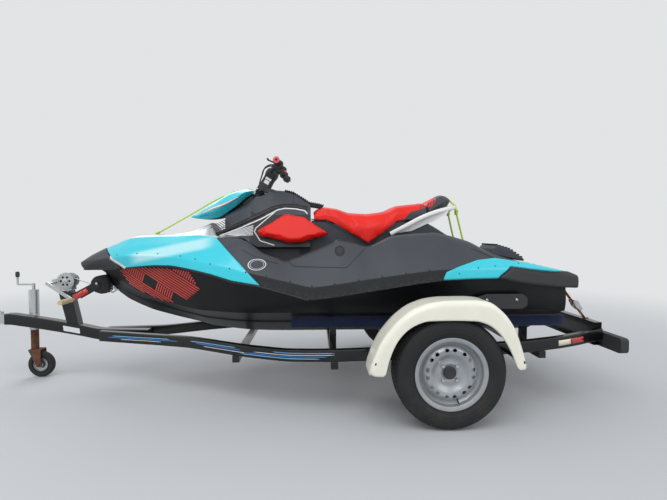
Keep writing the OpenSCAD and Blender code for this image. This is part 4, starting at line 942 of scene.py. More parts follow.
@dataclass
class Body:
    """The craft's shells: hull, deck, panels, bumpers, hood, cowl and console, with their trim."""

    lines: Lines = field(default_factory=Lines)
    panel: float = 9.0
    pod: Rows = ((1066, 126, 1226, 1240, 1251), (1100, 146, 1202, 1230, 1259), (1200, 160, 1121, 1168, 1237),
        (1304, 140, 1067, 1120, 1179),
                 (1364, 112, 1062, 1100, 1146), (1430, 62, 1066, 1084, 1103), (1474, 14, 1074, 1079, 1082))
    saddle: Rows = ((694, 90, 1168, 230, 887), (731, 92, 1189, 232, 887), (806, 94, 1234, 234, 887),
        (859, 98, 1245, 234, 887), (942, 104, 1251, 234, 887),
                    (1006, 110, 1216, 232, 887), (1052, 112, 1206, 226, 905), (1112, 96, 1171, 204, 941),
                    (1228, 90, 1103, 150, 956), (1294, 84, 1064, 142, 953), (1322, 66, 1016, 112, 952))
    ridge: Rows = ((1180, 950), (1286, 956), (1328, 1036), (1380, 1016), (1480, 985), (1577, 968), (1690, 962),
        (1790, 962), (1905, 926), (1970, 896))

    def make(self) -> None:
        """Builds every shell in order, from the keel up."""
        self.hull()
        self.deck()
        self.bow_panels()
        self.nose()
        self.quarters()
        self.hood()
        self.cowl()
        self.console()
        self.aft()

    def hull(self) -> None:
        """Lower hull: full sections with strakes and a chine, then the pump tunnel cut out."""
        x = np.unique(np.concatenate([np.linspace(-795, 1000, 60), np.linspace(1000, 2035, 90)]))
        h = fillet(self.lines.hull(x), (0, 6, 6, 8, 12, 60, 4), 5)
        ring = np.concatenate([h, (h * (1, -1, 1))[:, -1:0:-1]], 1)
        obj = Shell("hull_shell").grid(ring, wrap_v=True, caps=True).build(Paint.hull,
            stands_for=["lower_hull"], slot="black_plastic", sharp=24)
        cut = Shell("tunnel_cutter")
        arch = fillet([(-125.0, 280), (-125, 558), (125, 558), (125, 280)], (1, 60, 60, 1), 8)
        cut.grid(np.stack([np.column_stack([np.full(len(arch), s), arch]) for s in (-900.0, -520.0)]),
            wrap_v=True, caps=True)
        duct = [np.column_stack([(np.full(24, s)), circle(1.0, 24)[:, 0] * w,
            452 + circle(1.0, 24)[:, 1] * 70 - d]) for s, w, d in
                ((-540, 70, 0), (-500, 70, 4), (-420, 68, 40), (-300, 64, 90), (-150, 62, 150),
                (-110, 60, 190))]
        cut.grid(np.stack(duct), wrap_v=True, caps=True)
        tool = cut.build(Paint.hull)
        b = obj.modifiers.new("tunnel", "BOOLEAN")
        b.operation, b.object, b.solver, b.use_self = "DIFFERENCE", tool, "EXACT", True
        bpy.context.view_layer.update()
        made = bpy.data.meshes.new_from_object(obj.evaluated_get(bpy.context.evaluated_depsgraph_get()))
        obj.modifiers.remove(b)
        obj.data = made
        made.set_sharp_from_angle(angle=math.radians(24))
        bpy.data.objects.remove(tool)
        fieldy = SideField.of(fillet(self.lines.hull(x)[:, 4:], (8, 60, 2), 8))
        self.hatch(fieldy)

    def hatch(self, side: SideField) -> None:
        """Bow stripes: long parallel stripes on both sides of a slanting strip of short ones.

        The strip holds a plain dark lozenge. Each field is cut by half planes, given as a
        distance along or across the slant from the lozenge's middle, and by one outline.
        """
        outline = np.array([(1880, 748), (1822, 655), (1760, 618), (1680, 585), (1600, 562), (1530, 552),
            (1425, 574), (1325, 648), (1380, 752), (1500, 770), (1700, 768)], float)
        centre, ang = np.array([1658.0, 678.0]), math.radians(30)
        a = np.array([-math.cos(ang), -math.sin(ang)])
        b = np.array([-math.sin(ang), math.cos(ang)])
        mid = outline.mean(0)
        planes = []
        for p, q in zip(outline, np.roll(outline, -1, 0)):
            n = unit(np.array([q[1] - p[1], p[0] - q[0]]))
            planes.append((n if n @ (mid - p) > 0 else -n, p))
        fields = [(a, b, [(b, 33), (-b, -148)]), (a, b, [(-b, 33), (b, -104)]),
            (b, a, [(b, -29), (-b, -29), (-a, 47)]),
                  (b, a, [(b, -29), (-b, -29), (a, 47), (-a, -170)]), (b, a, [(b, 153), (a, 70)]),
                  (b, a, [(-b, 109), (-a, 0)])]
        shell, pitch, wide = Shell("bow_stripes"), 15.0, 8.6
        for along, across, cuts in fields:
            walls = planes + [(n, centre + n * d) for n, d in cuts]
            for k in range(-24, 25):
                base = centre + across * (k * pitch + pitch / 2)
                lo, hi = -600.0, 600.0
                for n, p in walls:
                    d, e = n @ along, n @ (p - base)
                    if abs(d) < 1e-6:
                        lo, hi = (1.0, 0.0) if e > 0 else (lo, hi)
                    elif d > 0:
                        lo = max(lo, e / d)
                    else:
                        hi = min(hi, e / d)
                if hi - lo > 10:
                    shell.grid(side.on(ribbon(np.stack([base + along * lo, base + along * hi]), wide, 14), 1.2))
        shell.both().build(Paint.print_red, wall=1.0, closed=False)
        LOG.info("bow stripes laid on the hull side")

    def deck(self) -> None:
        """Deck: one grid of whole sections.

        Half a section runs from the bond line over crease, shoulder and rim into the footwell
        (lip, wall, floor, seat base) and up to the crown; outside the wells those inner points
        slide, by a smooth step of the station, onto the straight line from rim to crown.
        """
        ln = self.lines
        x = np.unique(np.concatenate([np.linspace(-914, 2000, 200), [688, 694], np.linspace(-350, -290, 10),
            np.linspace(980, 1060, 14)]))
        s = fillet(ln.side(x), (2, 7, 16, 6), 4)
        rim, crown, bond = ln.line(x, ln.rim), ln.line(x, ln.crown, 1.0), ln.line(x, ln.bond)
        floor = np.maximum(bond[:, 2] + 18, 520)
        well = (smoothstep(-345, -292, x) * smoothstep(1052, 985, x))[:, None]
        def pt(y: np.ndarray, z: np.ndarray) -> np.ndarray:
            return np.stack([x, y, z], -1)
        inner = [pt(rim[:, 1] - 7, rim[:, 2]), pt(rim[:, 1] - 14, rim[:, 2] - 14),
            pt(rim[:, 1] - 44, floor + 14), pt(rim[:, 1] - 58, floor),
                 pt(0 * x + 205, floor), pt(0 * x + 191, floor + 14),
                 pt(np.minimum(crown[:, 1] + 36, 190), crown[:, 2] - 12)]
        flat = [rim * (1 - f) + crown * f for f in (0.04, 0.08, 0.3, 0.4, 0.7, 0.8, 0.95)]
        wells = np.stack([i * well + f * (1 - well) for i, f in zip(inner, flat)], 1)
        half = np.concatenate([s, wells, crown[:, None], (crown * (1, 0.4, 1))[:, None]], 1)
        low = bond * (1, 1, 1) - (0, 14, 0)
        ring = np.concatenate([low[:, None], half, (half * (1, -1, 1))[:, ::-1], (low * (1, -1, 1))[:, None]],
            1)
        keep = x <= 1990
        mats = np.zeros((keep.sum() - 1, ring.shape[1]), int)
        mats[:, :4] = mats[:, -5:] = 1
        rows = np.flatnonzero((x[keep][:-1] > -300) & (x[keep][:-1] < 1000))
        k = 1 + s.shape[1]
        mats[rows, k + 1 : k + 5] = mats[rows, -6 - k : -2 - k] = 2
        Shell("deck_shell").grid(ring[keep], wrap_v=True, caps=True, mat=mats).build(
            (Paint.deck, Paint.lower_band, Paint.mat), stands_for=["deck"], slot="grey_plastic", sharp=26)
        self.side = SideField.of(fillet(ln.side(np.linspace(-900, 2000, 420)), (2, 7, 16, 6), 6))
        self.trim()

    def trim(self) -> None:
        """Deck side trim: bolts along the crease, the access cover, its latch, ribs and badge ring."""
        side = self.side
        bolts = Shell("deck_bolts")
        cap = ((0.01, 3.6), (2.6, 3.4), (4.6, 1.2), (5.2, -2))
        for bx in (930, 800, 682, 560, 430, 300, 170, 40):
            z = float(self.lines.line(np.array([bx]), self.lines.crease)[0, 2]) + 5
            bolts.grid(spun(cap, side.on(np.array([bx, z]), 0.2), "y", 10), wrap_u=True)
        bolts.both().build(Paint.plastic, closed=False)
        seams = Shell("deck_seams")
        cover = np.array([(818, 815), (779, 785), (490, 781), (382, 884)], float)
        seams.grid(side.on(ribbon(fillet(cover, 9, 5), 3.4, 60), 0.5))
        for line in (((-356, 830), (-350, 800), (-362, 770)), ((-229, 884), (-310, 848), (-352, 826)),
                ((874, 800), (1000, 836), (1076, 880))):
            seams.grid(side.on(ribbon(line, 2.6, 20), 0.5))
        seams.both().build(Paint.print_black, wall=0.8, closed=False)
        latch = Shell("cover_latch")
        rings = ((29, -3), (29, 2.5), (27, 4.2), (24, 4.2), (22.5, 0.6), (19, 0.6), (18, 3.2), (15, 4.0),
            (0.3, 4.4))
        latch.grid(np.stack([side.on(np.array([526.0, 872.0]) + circle(r, 40), h) for r, h in rings]),
            wrap_v=True)
        latch.both().build(Paint.plastic, slot="black_plastic", closed=False)
        ring = Shell("badge_ring")
        for r0, r1 in ((45, 50), (36, 38)):
            ring.grid(side.on(np.array([986.0, 797.0]) + disc((0, 0), r0, r1, 48) * (1, 0.6), 0.8), wrap_v=True)
        ring.both().build(Paint.print_white, wall=0.6, closed=False)
        ribs = Shell("rim_ribs")
        for run in (((868, 824), (700, 853), (556, 886)), ((536, 888), (440, 890), (345, 892))):
            line = densify(np.array(run, float), 26 if run[0][0] > 800 else 17)
            for px, pz in line:
                y = float(np.interp(px, np.array(self.lines.rim)[:, 0], np.array(self.lines.rim)[:, 1]))
                zr = float(self.lines.line(np.array([px]), self.lines.rim)[0, 2])
                pts = np.array([(px, y + 22, zr - 3.5), (px, y + 8, zr + 1.5), (px, y - 6, zr + 1.5)])
                ribs.tube(pts, 2.6, 6, up=(1, 0, 0))
        ribs.both().build(Paint.rubber)

    def bow_panels(self) -> None:
        """Bow panels: the side patch between two slanted cuts, raised with rolled edges."""
        x = np.linspace(930, 2010, 300)
        dense = densify(fillet(self.lines.side(x), (1, 8, 16, 6), 6), 46)
        patch = between(dense, ((655, 962), (690, 966), (800, 1080), (892, 1180), (952, 1254), (1000, 1262)),
            ((755, 1788), (766, 1790), (826, 1900), (884, 1994), (1000, 1996)), 90)
        for s in Side:
            Shell("bow_panel_shell_" + s.tag).grid(swell(patch, self.panel, 8.0)).build(Paint.bow,
                stands_for=["bow_panel_" + s.tag], slot="teal", side=s, sharp=30, closed=False, wall=2.0)
        top = SideField(self.side.x, self.side.z, self.side.y)
        trim = Shell("bow_edge_strips")
        edge = np.array([(1906, 826), (1868, 806), (1830, 786), (1796, 764)], float)
        trim.grid(top.on(ribbon(edge, 23, 20), self.panel + 0.6))
        trim.both().build(Paint.white, wall=1.0, closed=False)
        bolts = Shell("bow_bolts")
        cap = ((0.01, 3.0), (2.8, 2.8), (5.0, 0.8), (5.6, -2))
        for bx in (1850, 1700, 1560, 1420, 1330, 1240, 1130, 1040):
            z = float(self.lines.line(np.array([bx]), self.lines.crease)[0, 2]) + (5 if bx > 1300 else -2)
            bolts.grid(spun(cap, self.side.on(np.array([bx, z]), self.panel + 0.3), "y", 10), wrap_u=True)
        bolts.both().build(Paint.plastic, closed=False)
        lip = Shell("gunwale_lip")
        xs = np.linspace(700, 1780, 90)
        b = self.lines.line(xs, self.lines.bond)
        lip.tube(b + (0, 3, -3), 4.0, 8)
        teeth = np.linspace(980, 1560, 58)
        bt = self.lines.line(teeth, self.lines.bond)
        for p in bt:
            lip.tube(np.array([p + (0, 7, 4), p + (0, 5, -7)]), 3.4, 5, up=(1, 0, 0))
        lip.both().build(Paint.plastic)

    def nose(self) -> None:
        """Nose bumper: full sections let out over the bow, closed at the tip, with a dark base."""
        x = np.linspace(1780, 2186, 60)
        sec = densify(fillet(self.lines.side(x, 11), (3, 6, 14, 8), 5), 22)
        top = np.stack([x, 0 * x, self.lines.line(x, self.lines.crown)[:, 2] + 11], -1)
        half = np.concatenate([sec, (sec[:, -1] * 0.5 + top * 0.5)[:, None], top[:, None]], 1)
        rear = ((600, 1842), (757, 1842), (822, 1902), (884, 1994), (1300, 2000))
        cut = between(half, rear, ((600, 2100), (722, 2130), (789, 2186), (1300, 2186)), 50)
        ring = np.concatenate([(cut[:, :1] - (0, 10, 0)), cut, (cut * (1, -1, 1))[:, -2::-1],
            (cut[:, :1] * (1, -1, 1) + (0, 10, 0))], 1)
        m = (ring[:-1, :, 2] < 790 + (2173 - ring[:-1, :, 0]) * 0.103).astype(int)
        Shell("nose_shell").grid(ring, wrap_v=True, caps=True, mat=m).build((Paint.deck, Paint.plastic),
            stands_for=["nose_bumper"], slot="grey_plastic", sharp=28)
        ribs = Shell("nose_ribs")
        f = SideField.of(sec)
        for k in range(4):
            z0 = 738 + 11 * k
            ribs.grid(f.on(ribbon(((1870 + 16 * k, z0 + 14), (2010, z0 + 4), (2150 - 18 * k, z0)), 3.2, 30),
                0.9))
        ribs.both().build(Paint.plastic, wall=1.2, closed=False)

    def quarters(self) -> None:
        """Quarter panels and ribbed rear bumpers, over the stern's side."""
        x = np.linspace(-880, 60, 260)
        low = densify(fillet(self.lines.side(x)[:, :3], (1, 8, 6), 6), 34)
        def band(lo: Rows, hi: Rows, n: int) -> np.ndarray:
            """The patch between a lower and an upper side-view line (x, z), n stations long."""
            lo, hi = np.asarray(lo, float), np.asarray(hi, float)
            xs = lo[0, 0] + edge_steps(n) * (lo[-1, 0] - lo[0, 0])
            z0 = np.interp(xs, np.sort(lo[:, 0]), lo[np.argsort(lo[:, 0]), 1])
            z1 = np.interp(xs, np.sort(hi[:, 0]), hi[np.argsort(hi[:, 0]), 1])
            t = edge_steps(26, 0.012)
            return np.stack([np.broadcast_to(xs[:, None], (n, 26)), z0[:, None] * (1 - t) + z1[:, None] * t],
                -1)
        f = SideField.of(low)
        quarter = band(((-790, 741), (-700, 749), (-425, 783), (-352, 732), (-345, 723), (-200, 722),
            (-36, 716)), ((-790, 744), (-700, 763), (-541, 797), (-345, 827), (-240, 817), (-120, 782),
            (-52, 757), (-36, 724)), 90)
        bumper = band(((-858, 655), (-700, 666), (-541, 686), (-432, 704), (-356, 722)),
            ((-858, 712), (-790, 738), (-700, 744), (-541, 762), (-430, 776), (-356, 727)), 80)
        for s in Side:
            Shell("quarter_shell_" + s.tag).grid(swell(f.on(quarter, 0.0), self.panel,
                7.0)).build(Paint.turquoise, stands_for=["quarter_panel_" + s.tag], slot="teal", side=s,
                closed=False, wall=2.0)
            Shell("rear_bumper_shell_" + s.tag).grid(swell(f.on(bumper, 0.0), 19.0, 12.0)).build(Paint.plastic,
                stands_for=["rear_bumper_" + s.tag], slot="black_plastic", side=s, closed=False, wall=3.0)
        ribs = Shell("bumper_ribs")
        for bx in np.linspace(-770, -440, 24):
            z = float(np.interp(bx, [-858, -700, -541, -430], [706, 740, 758, 772]))
            ribs.grid(f.on(ribbon(((bx - 6, z + 1), (bx + 6, z - 12)), 5, 6), 19.6))
        ribs.both().build(Paint.rubber, wall=1.4, closed=False)
        bolts = Shell("quarter_bolts")
        cap = ((0.01, 3.0), (2.8, 2.8), (5.0, 0.8), (5.6, -2))
        for bx, bz in ((-120, 748), (-230, 774), (-330, 782), (-480, 792)):
            bolts.grid(spun(cap, f.on(np.array([bx, bz], float), self.panel + 0.2), "y", 10), wrap_u=True)
        bolts.both().build(Paint.plastic, closed=False)

    def hood(self) -> None:
        """Hood: crowned sections on the rim line, highest along the middle."""
        x = np.linspace(1235, 1972, 90)
        rim, k = self.lines.line(x, self.lines.rim), pchip(x, self.ridge)[:, 0]
        w, z = rim[:, 1] - 5, rim[:, 2]
        rows = [(1.0, z), (1.0, z + 8), (0.62, z + 8 + (k - z - 8) * 0.62), (0.3, z + (k - z) * 0.9),
            (0.16, k + 2)]
        half = np.stack([np.stack([x, w * a, h], -1) for a, h in rows], 1)
        h = fillet(half, (1, 5, 40, 18, 12), 6)
        ring = np.concatenate([h, (h * (1, -1, 1))[:, ::-1]], 1)
        m = np.zeros(ring.shape[1], int)
        m[13:26] = 1
        Shell("hood_shell").grid(ring, wrap_v=True, caps=True, mat=m).build((Paint.white, Paint.silver),
            stands_for=["hood"], slot="pale_plastic", sharp=26)

    def cowl(self) -> None:
        """Bow pod: turquoise top over a dark underside, with a lens-shaped mark on each side."""
        t = np.asarray(self.pod, float)
        x = np.linspace(1066, 1476, 64)
        p = pchip(x, t)
        w, lo, mid, hi = (p[:, i] for i in range(4))
        def at(f: float, z: np.ndarray) -> np.ndarray:
            return np.stack([x, w * f, z], -1)
        half = np.stack([at(0.62, lo), at(1.0, mid), at(0.66, hi - 12), at(0.2, hi)], 1)
        h = fillet(half, (6, 9, 30, 20), 6)
        ring = np.concatenate([h, (h * (1, -1, 1))[:, ::-1]], 1)
        n = ring.shape[1]
        m = np.zeros(n, int)
        m[-1] = 1
        Shell("cowl_shell").grid(ring, wrap_v=True, caps=True, mat=m).build((Paint.turquoise, Paint.plastic),
            stands_for=["cowl"], slot="teal", sharp=28)
        f = SideField.of(densify(h[:, 2:14], 40))
        marks = [("cowl_mark_red", Paint.print_red, 21, 0.7), ("cowl_mark_white", Paint.print_white, 11, 1.1)]
        s = np.linspace(0, 1, 40)
        curve = bent([(1376, 1099), (1308, 1128), (1240, 1150), (1193, 1172), (1126, 1209)], 40)
        ticks = Shell("cowl_shading")
        for k in np.linspace(0, 1, 18):
            p = np.array([1400 - 280 * k, np.interp(1400 - 280 * k, [1120, 1200, 1304, 1400],
                [1196, 1132, 1078, 1070])])
            ticks.grid(f.on(ribbon((p, p + (-16, 22)), 4.5, 6), 0.6))
        ticks.both().build(Paint.shade, wall=0.5, closed=False)
        for name, paint, wide, lift in marks:
            prof = wide * np.sin(np.pi * np.clip(s * 1.02, 0, 1)) ** 0.6 * (1 - 0.55 * s)
            Shell(name).grid(f.on(ribbon(curve, np.maximum(prof, 0.5), 40), lift)).both().build(paint, wall=0.5,
                closed=False)

    def console(self) -> None:
        """Console: wide base, narrow top, with ribs behind, a trench line and a striped print."""
        t = np.asarray(self.saddle, float)
        x = np.linspace(694, 1228, 90)
        p = pchip(x, t)
        tw, tz, bw, bz = (p[:, i] for i in range(4))
        hgt = tz - bz
        s = np.minimum(0.8, 220 / hgt)
        y2 = np.maximum(bw - (bw - 152) * 0.98, tw + 6)
        half = np.stack([np.stack([x, a, z], -1) for a,
            z in ((bw, bz), (y2, bz + s * hgt), (tw, tz - 12), (tw * 0.5, tz))], 1)
        h = fillet(half, (2, 22, 18, 30), 7)
        ring = np.concatenate([h, (h * (1, -1, 1))[:, ::-1]], 1)
        low = ((ring[:-1, :, 2] < 936) & (ring[:-1, :, 0] < 1062)).astype(int)
        Shell("console_shell").grid(ring, wrap_v=True, caps=True, mat=low).build((Paint.deck, Paint.plastic),
            stands_for=["console"], slot="grey_plastic", sharp=26)
        f = SideField.of(h)
        trench = Shell("console_trench")
        for line, wide in ((((1284, 962), (1104, 1040), (930, 1128), (862, 1144), (790, 1144), (712, 1128)),
                26), (((800, 1236), (806, 1190), (800, 1150)), 3)):
            trench.grid(f.on(ribbon(line, wide, 50), 0.9))
        trench.both().build(Paint.print_black, wall=1.0, closed=False)
        white = Shell("console_stripes")
        for i in range(7):
            white.grid(f.on(ribbon(((1236 - 12 * i, 960 - i), (1046, 1018 - 9.5 * i)), 4.6, 24), 1.0))
        white.grid(f.on(ribbon(((1262, 956), (1123, 1004), (996, 1062), (900, 1117), (856, 1127), (789, 1124),
            (729, 1112), (712, 1092)), 8.0, 80), 1.6))
        white.grid(f.on(ribbon(((912, 1108), (1031, 1002), (1039, 980), (1002, 924), (914, 896)), 6.0, 60),
            1.4))
        white.both().build(Paint.print_white, wall=0.6, closed=False)
        slats = Shell("console_slats")
        for i in range(7):
            slats.grid(f.on(ribbon(((1316 - 13 * i, 1012 + 7 * i), (1276 - 13 * i, 984 + 7 * i)), 4.2, 12),
                1.0))
        slats.both().build(Paint.print_black, wall=0.6, closed=False)
        back = Shell("console_back_ribs")
        rx = np.linspace(612, 860, 40)
        rz = np.interp(rx, [612, 640, 700, 731, 806, 859], [1152, 1160, 1170, 1191, 1236, 1247])
        base = np.stack([rx, 0 * rx, rz], -1)
        prof = fillet([(-80.0, -22), (-80, 0), (80, 0), (80, -22)], (4, 6, 6, 4), 4)
        back.grid(sweep(base, np.column_stack([prof[:, 0], prof[:, 1]])), wrap_v=True, caps=True)
        for a, z in zip(rx[::2], rz[::2]):
            back.tube(np.array([(a, -84, z + 1), (a, 84, z + 1)]), 5.0, 8)
        back.build(Paint.rubber, slot="black_plastic")
        gauge = Shell("gauge_hood")
        c = np.array([958.0, 0, 1248])
        gauge.grid(np.stack([np.column_stack([c[0] + circle(r, 36)[:, 0] * 0.62 - d * 0.3,
            circle(r, 36)[:, 1] * 1.1, np.full(36, c[2] + d) + circle(r, 36)[:, 0] * 0.10]) for r,
            d in ((66, -14), (62, 4), (56, 11), (48, 12), (44, 7), (20, 6.5), (0.1, 6.4))]), wrap_v=True)
        gauge.build(Paint.plastic, closed=False)
        face = Shell("gauge_face")
        face.grid(np.stack([np.column_stack([c[0] + circle(r, 36)[:, 0] * 0.62 - 3, circle(r, 36)[:, 1] * 1.1,
            np.full(36, c[2] + 8.2) + circle(r, 36)[:, 0] * 0.10]) for r in (42, 30, 12, 0.1)]), wrap_v=True)
        face.build(Paint.glass, closed=False, wall=1.0)

    def aft(self) -> None:
        """Rear mats, heel wedges, sponsons, grab handle and bow eye."""
        mat = Shell("stern_mat")
        xs = np.linspace(-905, -590, 60)
        top = np.interp(xs, [-914, -860, -795, -541, -345], [704, 727, 748, 804, 838])
        for y0, y1 in ((-355, -190), (-150, 150), (190, 355)):
            ys = np.linspace(y0, y1, 12)
            w = np.clip(smoothstep(-914, -880, xs), 0, 1)[:, None]
            body = np.stack(np.broadcast_arrays(xs[:, None], ys[None] * (0.88 + 0.12 * w),
                top[:, None] + 4.5 + 1.6 * np.sign(np.sin(xs[:, None] / 6.2))), -1)
            mat.grid(body)
        mat.build(Paint.mat, closed=False, wall=6.0)
        wedge = Shell("heel_wedge_ribs")
        for bx in np.linspace(-410, -560, 9):
            z = float(np.interp(-bx, [379, 389, 410, 493, 570], [847, 880, 904, 879, 825]))
            wedge.tube(np.array([(bx, 156, z), (bx, 388, z)]), 4, 6)
        wedge.both().build(Paint.rubber)
        machined("foot_wedges", Paint.deck, bevel=7)
        machined("sponsons", Paint.plastic, bevel=5)
        bolt = Shell("sponson_bolts")
        for bx in (-300, -470):
            bolt.grid(spun(((0.01, 5), (5, 4.6), (8, 2), (8.5, -2)), (bx, 521.9, 596), "y", 16), wrap_u=True)
        bolt.both().build(Paint.steel, closed=False)
        pts = np.array([(192, 201.4, 967), (95, 214, 1018), (-3, 212, 1069), (-105, 200, 1107),
            (-168, 180, 1123), (-210, 148, 1131), (-234, 105, 1137), (-248, 50, 1140)], float)
        arc = np.concatenate([pts, (pts * (1, -1, 1))[::-1]])
        g = Shell("grab_rail")
        g.grid(sweep(bent(arc, 110), fillet([(-15.0, -14), (-15, 14), (15, 14), (15, -14)], 12, 6, loop=True)),
            wrap_v=True, caps=True)
        wall = np.array([(190, 966), (95, 1010), (-3, 1062), (-105, 1100), (-176, 1116), (-169, 1092),
            (-72, 1044), (58, 985)], float)
        for s in (1, -1):
            g.plate(fillet(wall, 4, 4, loop=True), s * 190 - 4, s * 190 + 4, 1.5)
        g.plate(fillet([(-62.0, 1043), (-120, 1086), (-182, 1124), (-215, 1144), (-246, 1144), (-225, 1122),
            (-130, 1066), (-82, 1041)], 6, 4, loop=True), -140, 140, 3)
        g.build(Paint.handle, stands_for=["grab_handle"], slot="white_plastic", sharp=40)
        machined("bow_eye", Paint.steel, bevel=0)


# ----------------------------------------------------------------- seat and steering
@dataclass
class Upholstery:
    """Seat, seat tail and knee pads: padded covers with seams and piping."""

    voxel: float = 0.006
    pressure: float = 4.0

    def make(self) -> None:
        """Pads each cover and sews its seams."""
        cap = {"seat": 0.011, "seat_tail": 0.006, "knee_pad_left": 0.010, "knee_pad_right": 0.010}
        for node, most in cap.items():
            skin = Paint.seat if node.startswith("seat") else Paint.pad
            obj = self.cushion(node, most)
            dress(obj, skin, "outfit", [node], sharp=60)
            s = obj.modifiers.new("finer", "SUBSURF")
            s.levels = s.render_levels = 1
        self.seams()

    def cushion(self, node: str, most: float) -> bpy.types.Object:
        """Swells a frame solid into a cushion.

        A voxel copy shrunk a little is blown up by the cloth solver with no gravity for twenty
        frames; no point may move further than most, which keeps the outline.
        """
        obj = frame_copy(node, node + "_cushion")
        r = obj.modifiers.new("voxels", "REMESH")
        r.mode, r.voxel_size = "VOXEL", self.voxel
        obj.data = bpy.data.meshes.new_from_object(obj.evaluated_get(bpy.context.evaluated_depsgraph_get()))
        obj.modifiers.remove(r)
        bm = bmesh.new()
        bm.from_mesh(obj.data)
        for _ in range(4):
            bmesh.ops.smooth_vert(bm, verts=bm.verts, factor=0.5, use_axis_x=True, use_axis_y=True,
                use_axis_z=True)
        bm.to_mesh(obj.data)
        bm.free()
        co = np.empty(len(obj.data.vertices) * 3, np.float32)
        obj.data.vertices.foreach_get("co", co)
        co = co.reshape(-1, 3)
        nor = np.empty_like(co).ravel()
        obj.data.vertices.foreach_get("normal", nor)
        co -= nor.reshape(-1, 3) * (most * 0.55)
        if node == "seat_tail":
            joint = place(np.array([[-58.5, 0, 0]]))[0, 0]
            co[:, 0] = joint + (co[:, 0] - joint) * 0.87
        obj.data.vertices.foreach_set("co", co.ravel())
        obj.data.update()
        c = obj.modifiers.new("swell", "CLOTH")
        c.settings.use_pressure = True
        c.settings.uniform_pressure_force = self.pressure
        c.settings.effector_weights.gravity = 0
        c.settings.quality = 5
        c.settings.tension_stiffness = c.settings.compression_stiffness = 12
        c.point_cache.frame_start, c.point_cache.frame_end = 1, 20
        for f in range(1, 21):
            bpy.context.scene.frame_set(f)
        ev = obj.evaluated_get(bpy.context.evaluated_depsgraph_get())
        out = np.empty(len(ev.data.vertices) * 3, np.float32)
        ev.data.vertices.foreach_get("co", out)
        move = out.reshape(-1, 3) - co
        d = np.linalg.norm(move, axis=1, keepdims=True)
        new = co + move * np.minimum(1.0, most / np.maximum(d, 1e-9))
        obj.modifiers.remove(c)
        obj.data.vertices.foreach_set("co", new.ravel())
        obj.data.update()
        bpy.context.scene.frame_set(1)
        return obj

    def seams(self) -> None:
        """Welts laid where the covers are sewn."""
        def lay(pts: np.ndarray, name: str, r: float, paint: Finish) -> None:
            Shell(name).tube(pts, r, 7).build(paint)
        side = fillet([(688, 1058), (600, 1053), (523, 1009), (450, 962), (334, 899), (243, 956), (203, 984),
            (140, 1044), (99, 1054)], 14, 5)
        half = np.interp(side[:, 0], [-58, 36, 140, 243, 334, 450, 600, 688],
            [176, 189, 200, 213, 220, 211, 191, 183])
        lay(np.column_stack([side[:, 0], half + 1.5, side[:, 1]]), "seat_welt_left", 3.2, Paint.print_black)
        lay(np.column_stack([side[:, 0], -half - 1.5, side[:, 1]]), "seat_welt_right", 3.2, Paint.print_black)


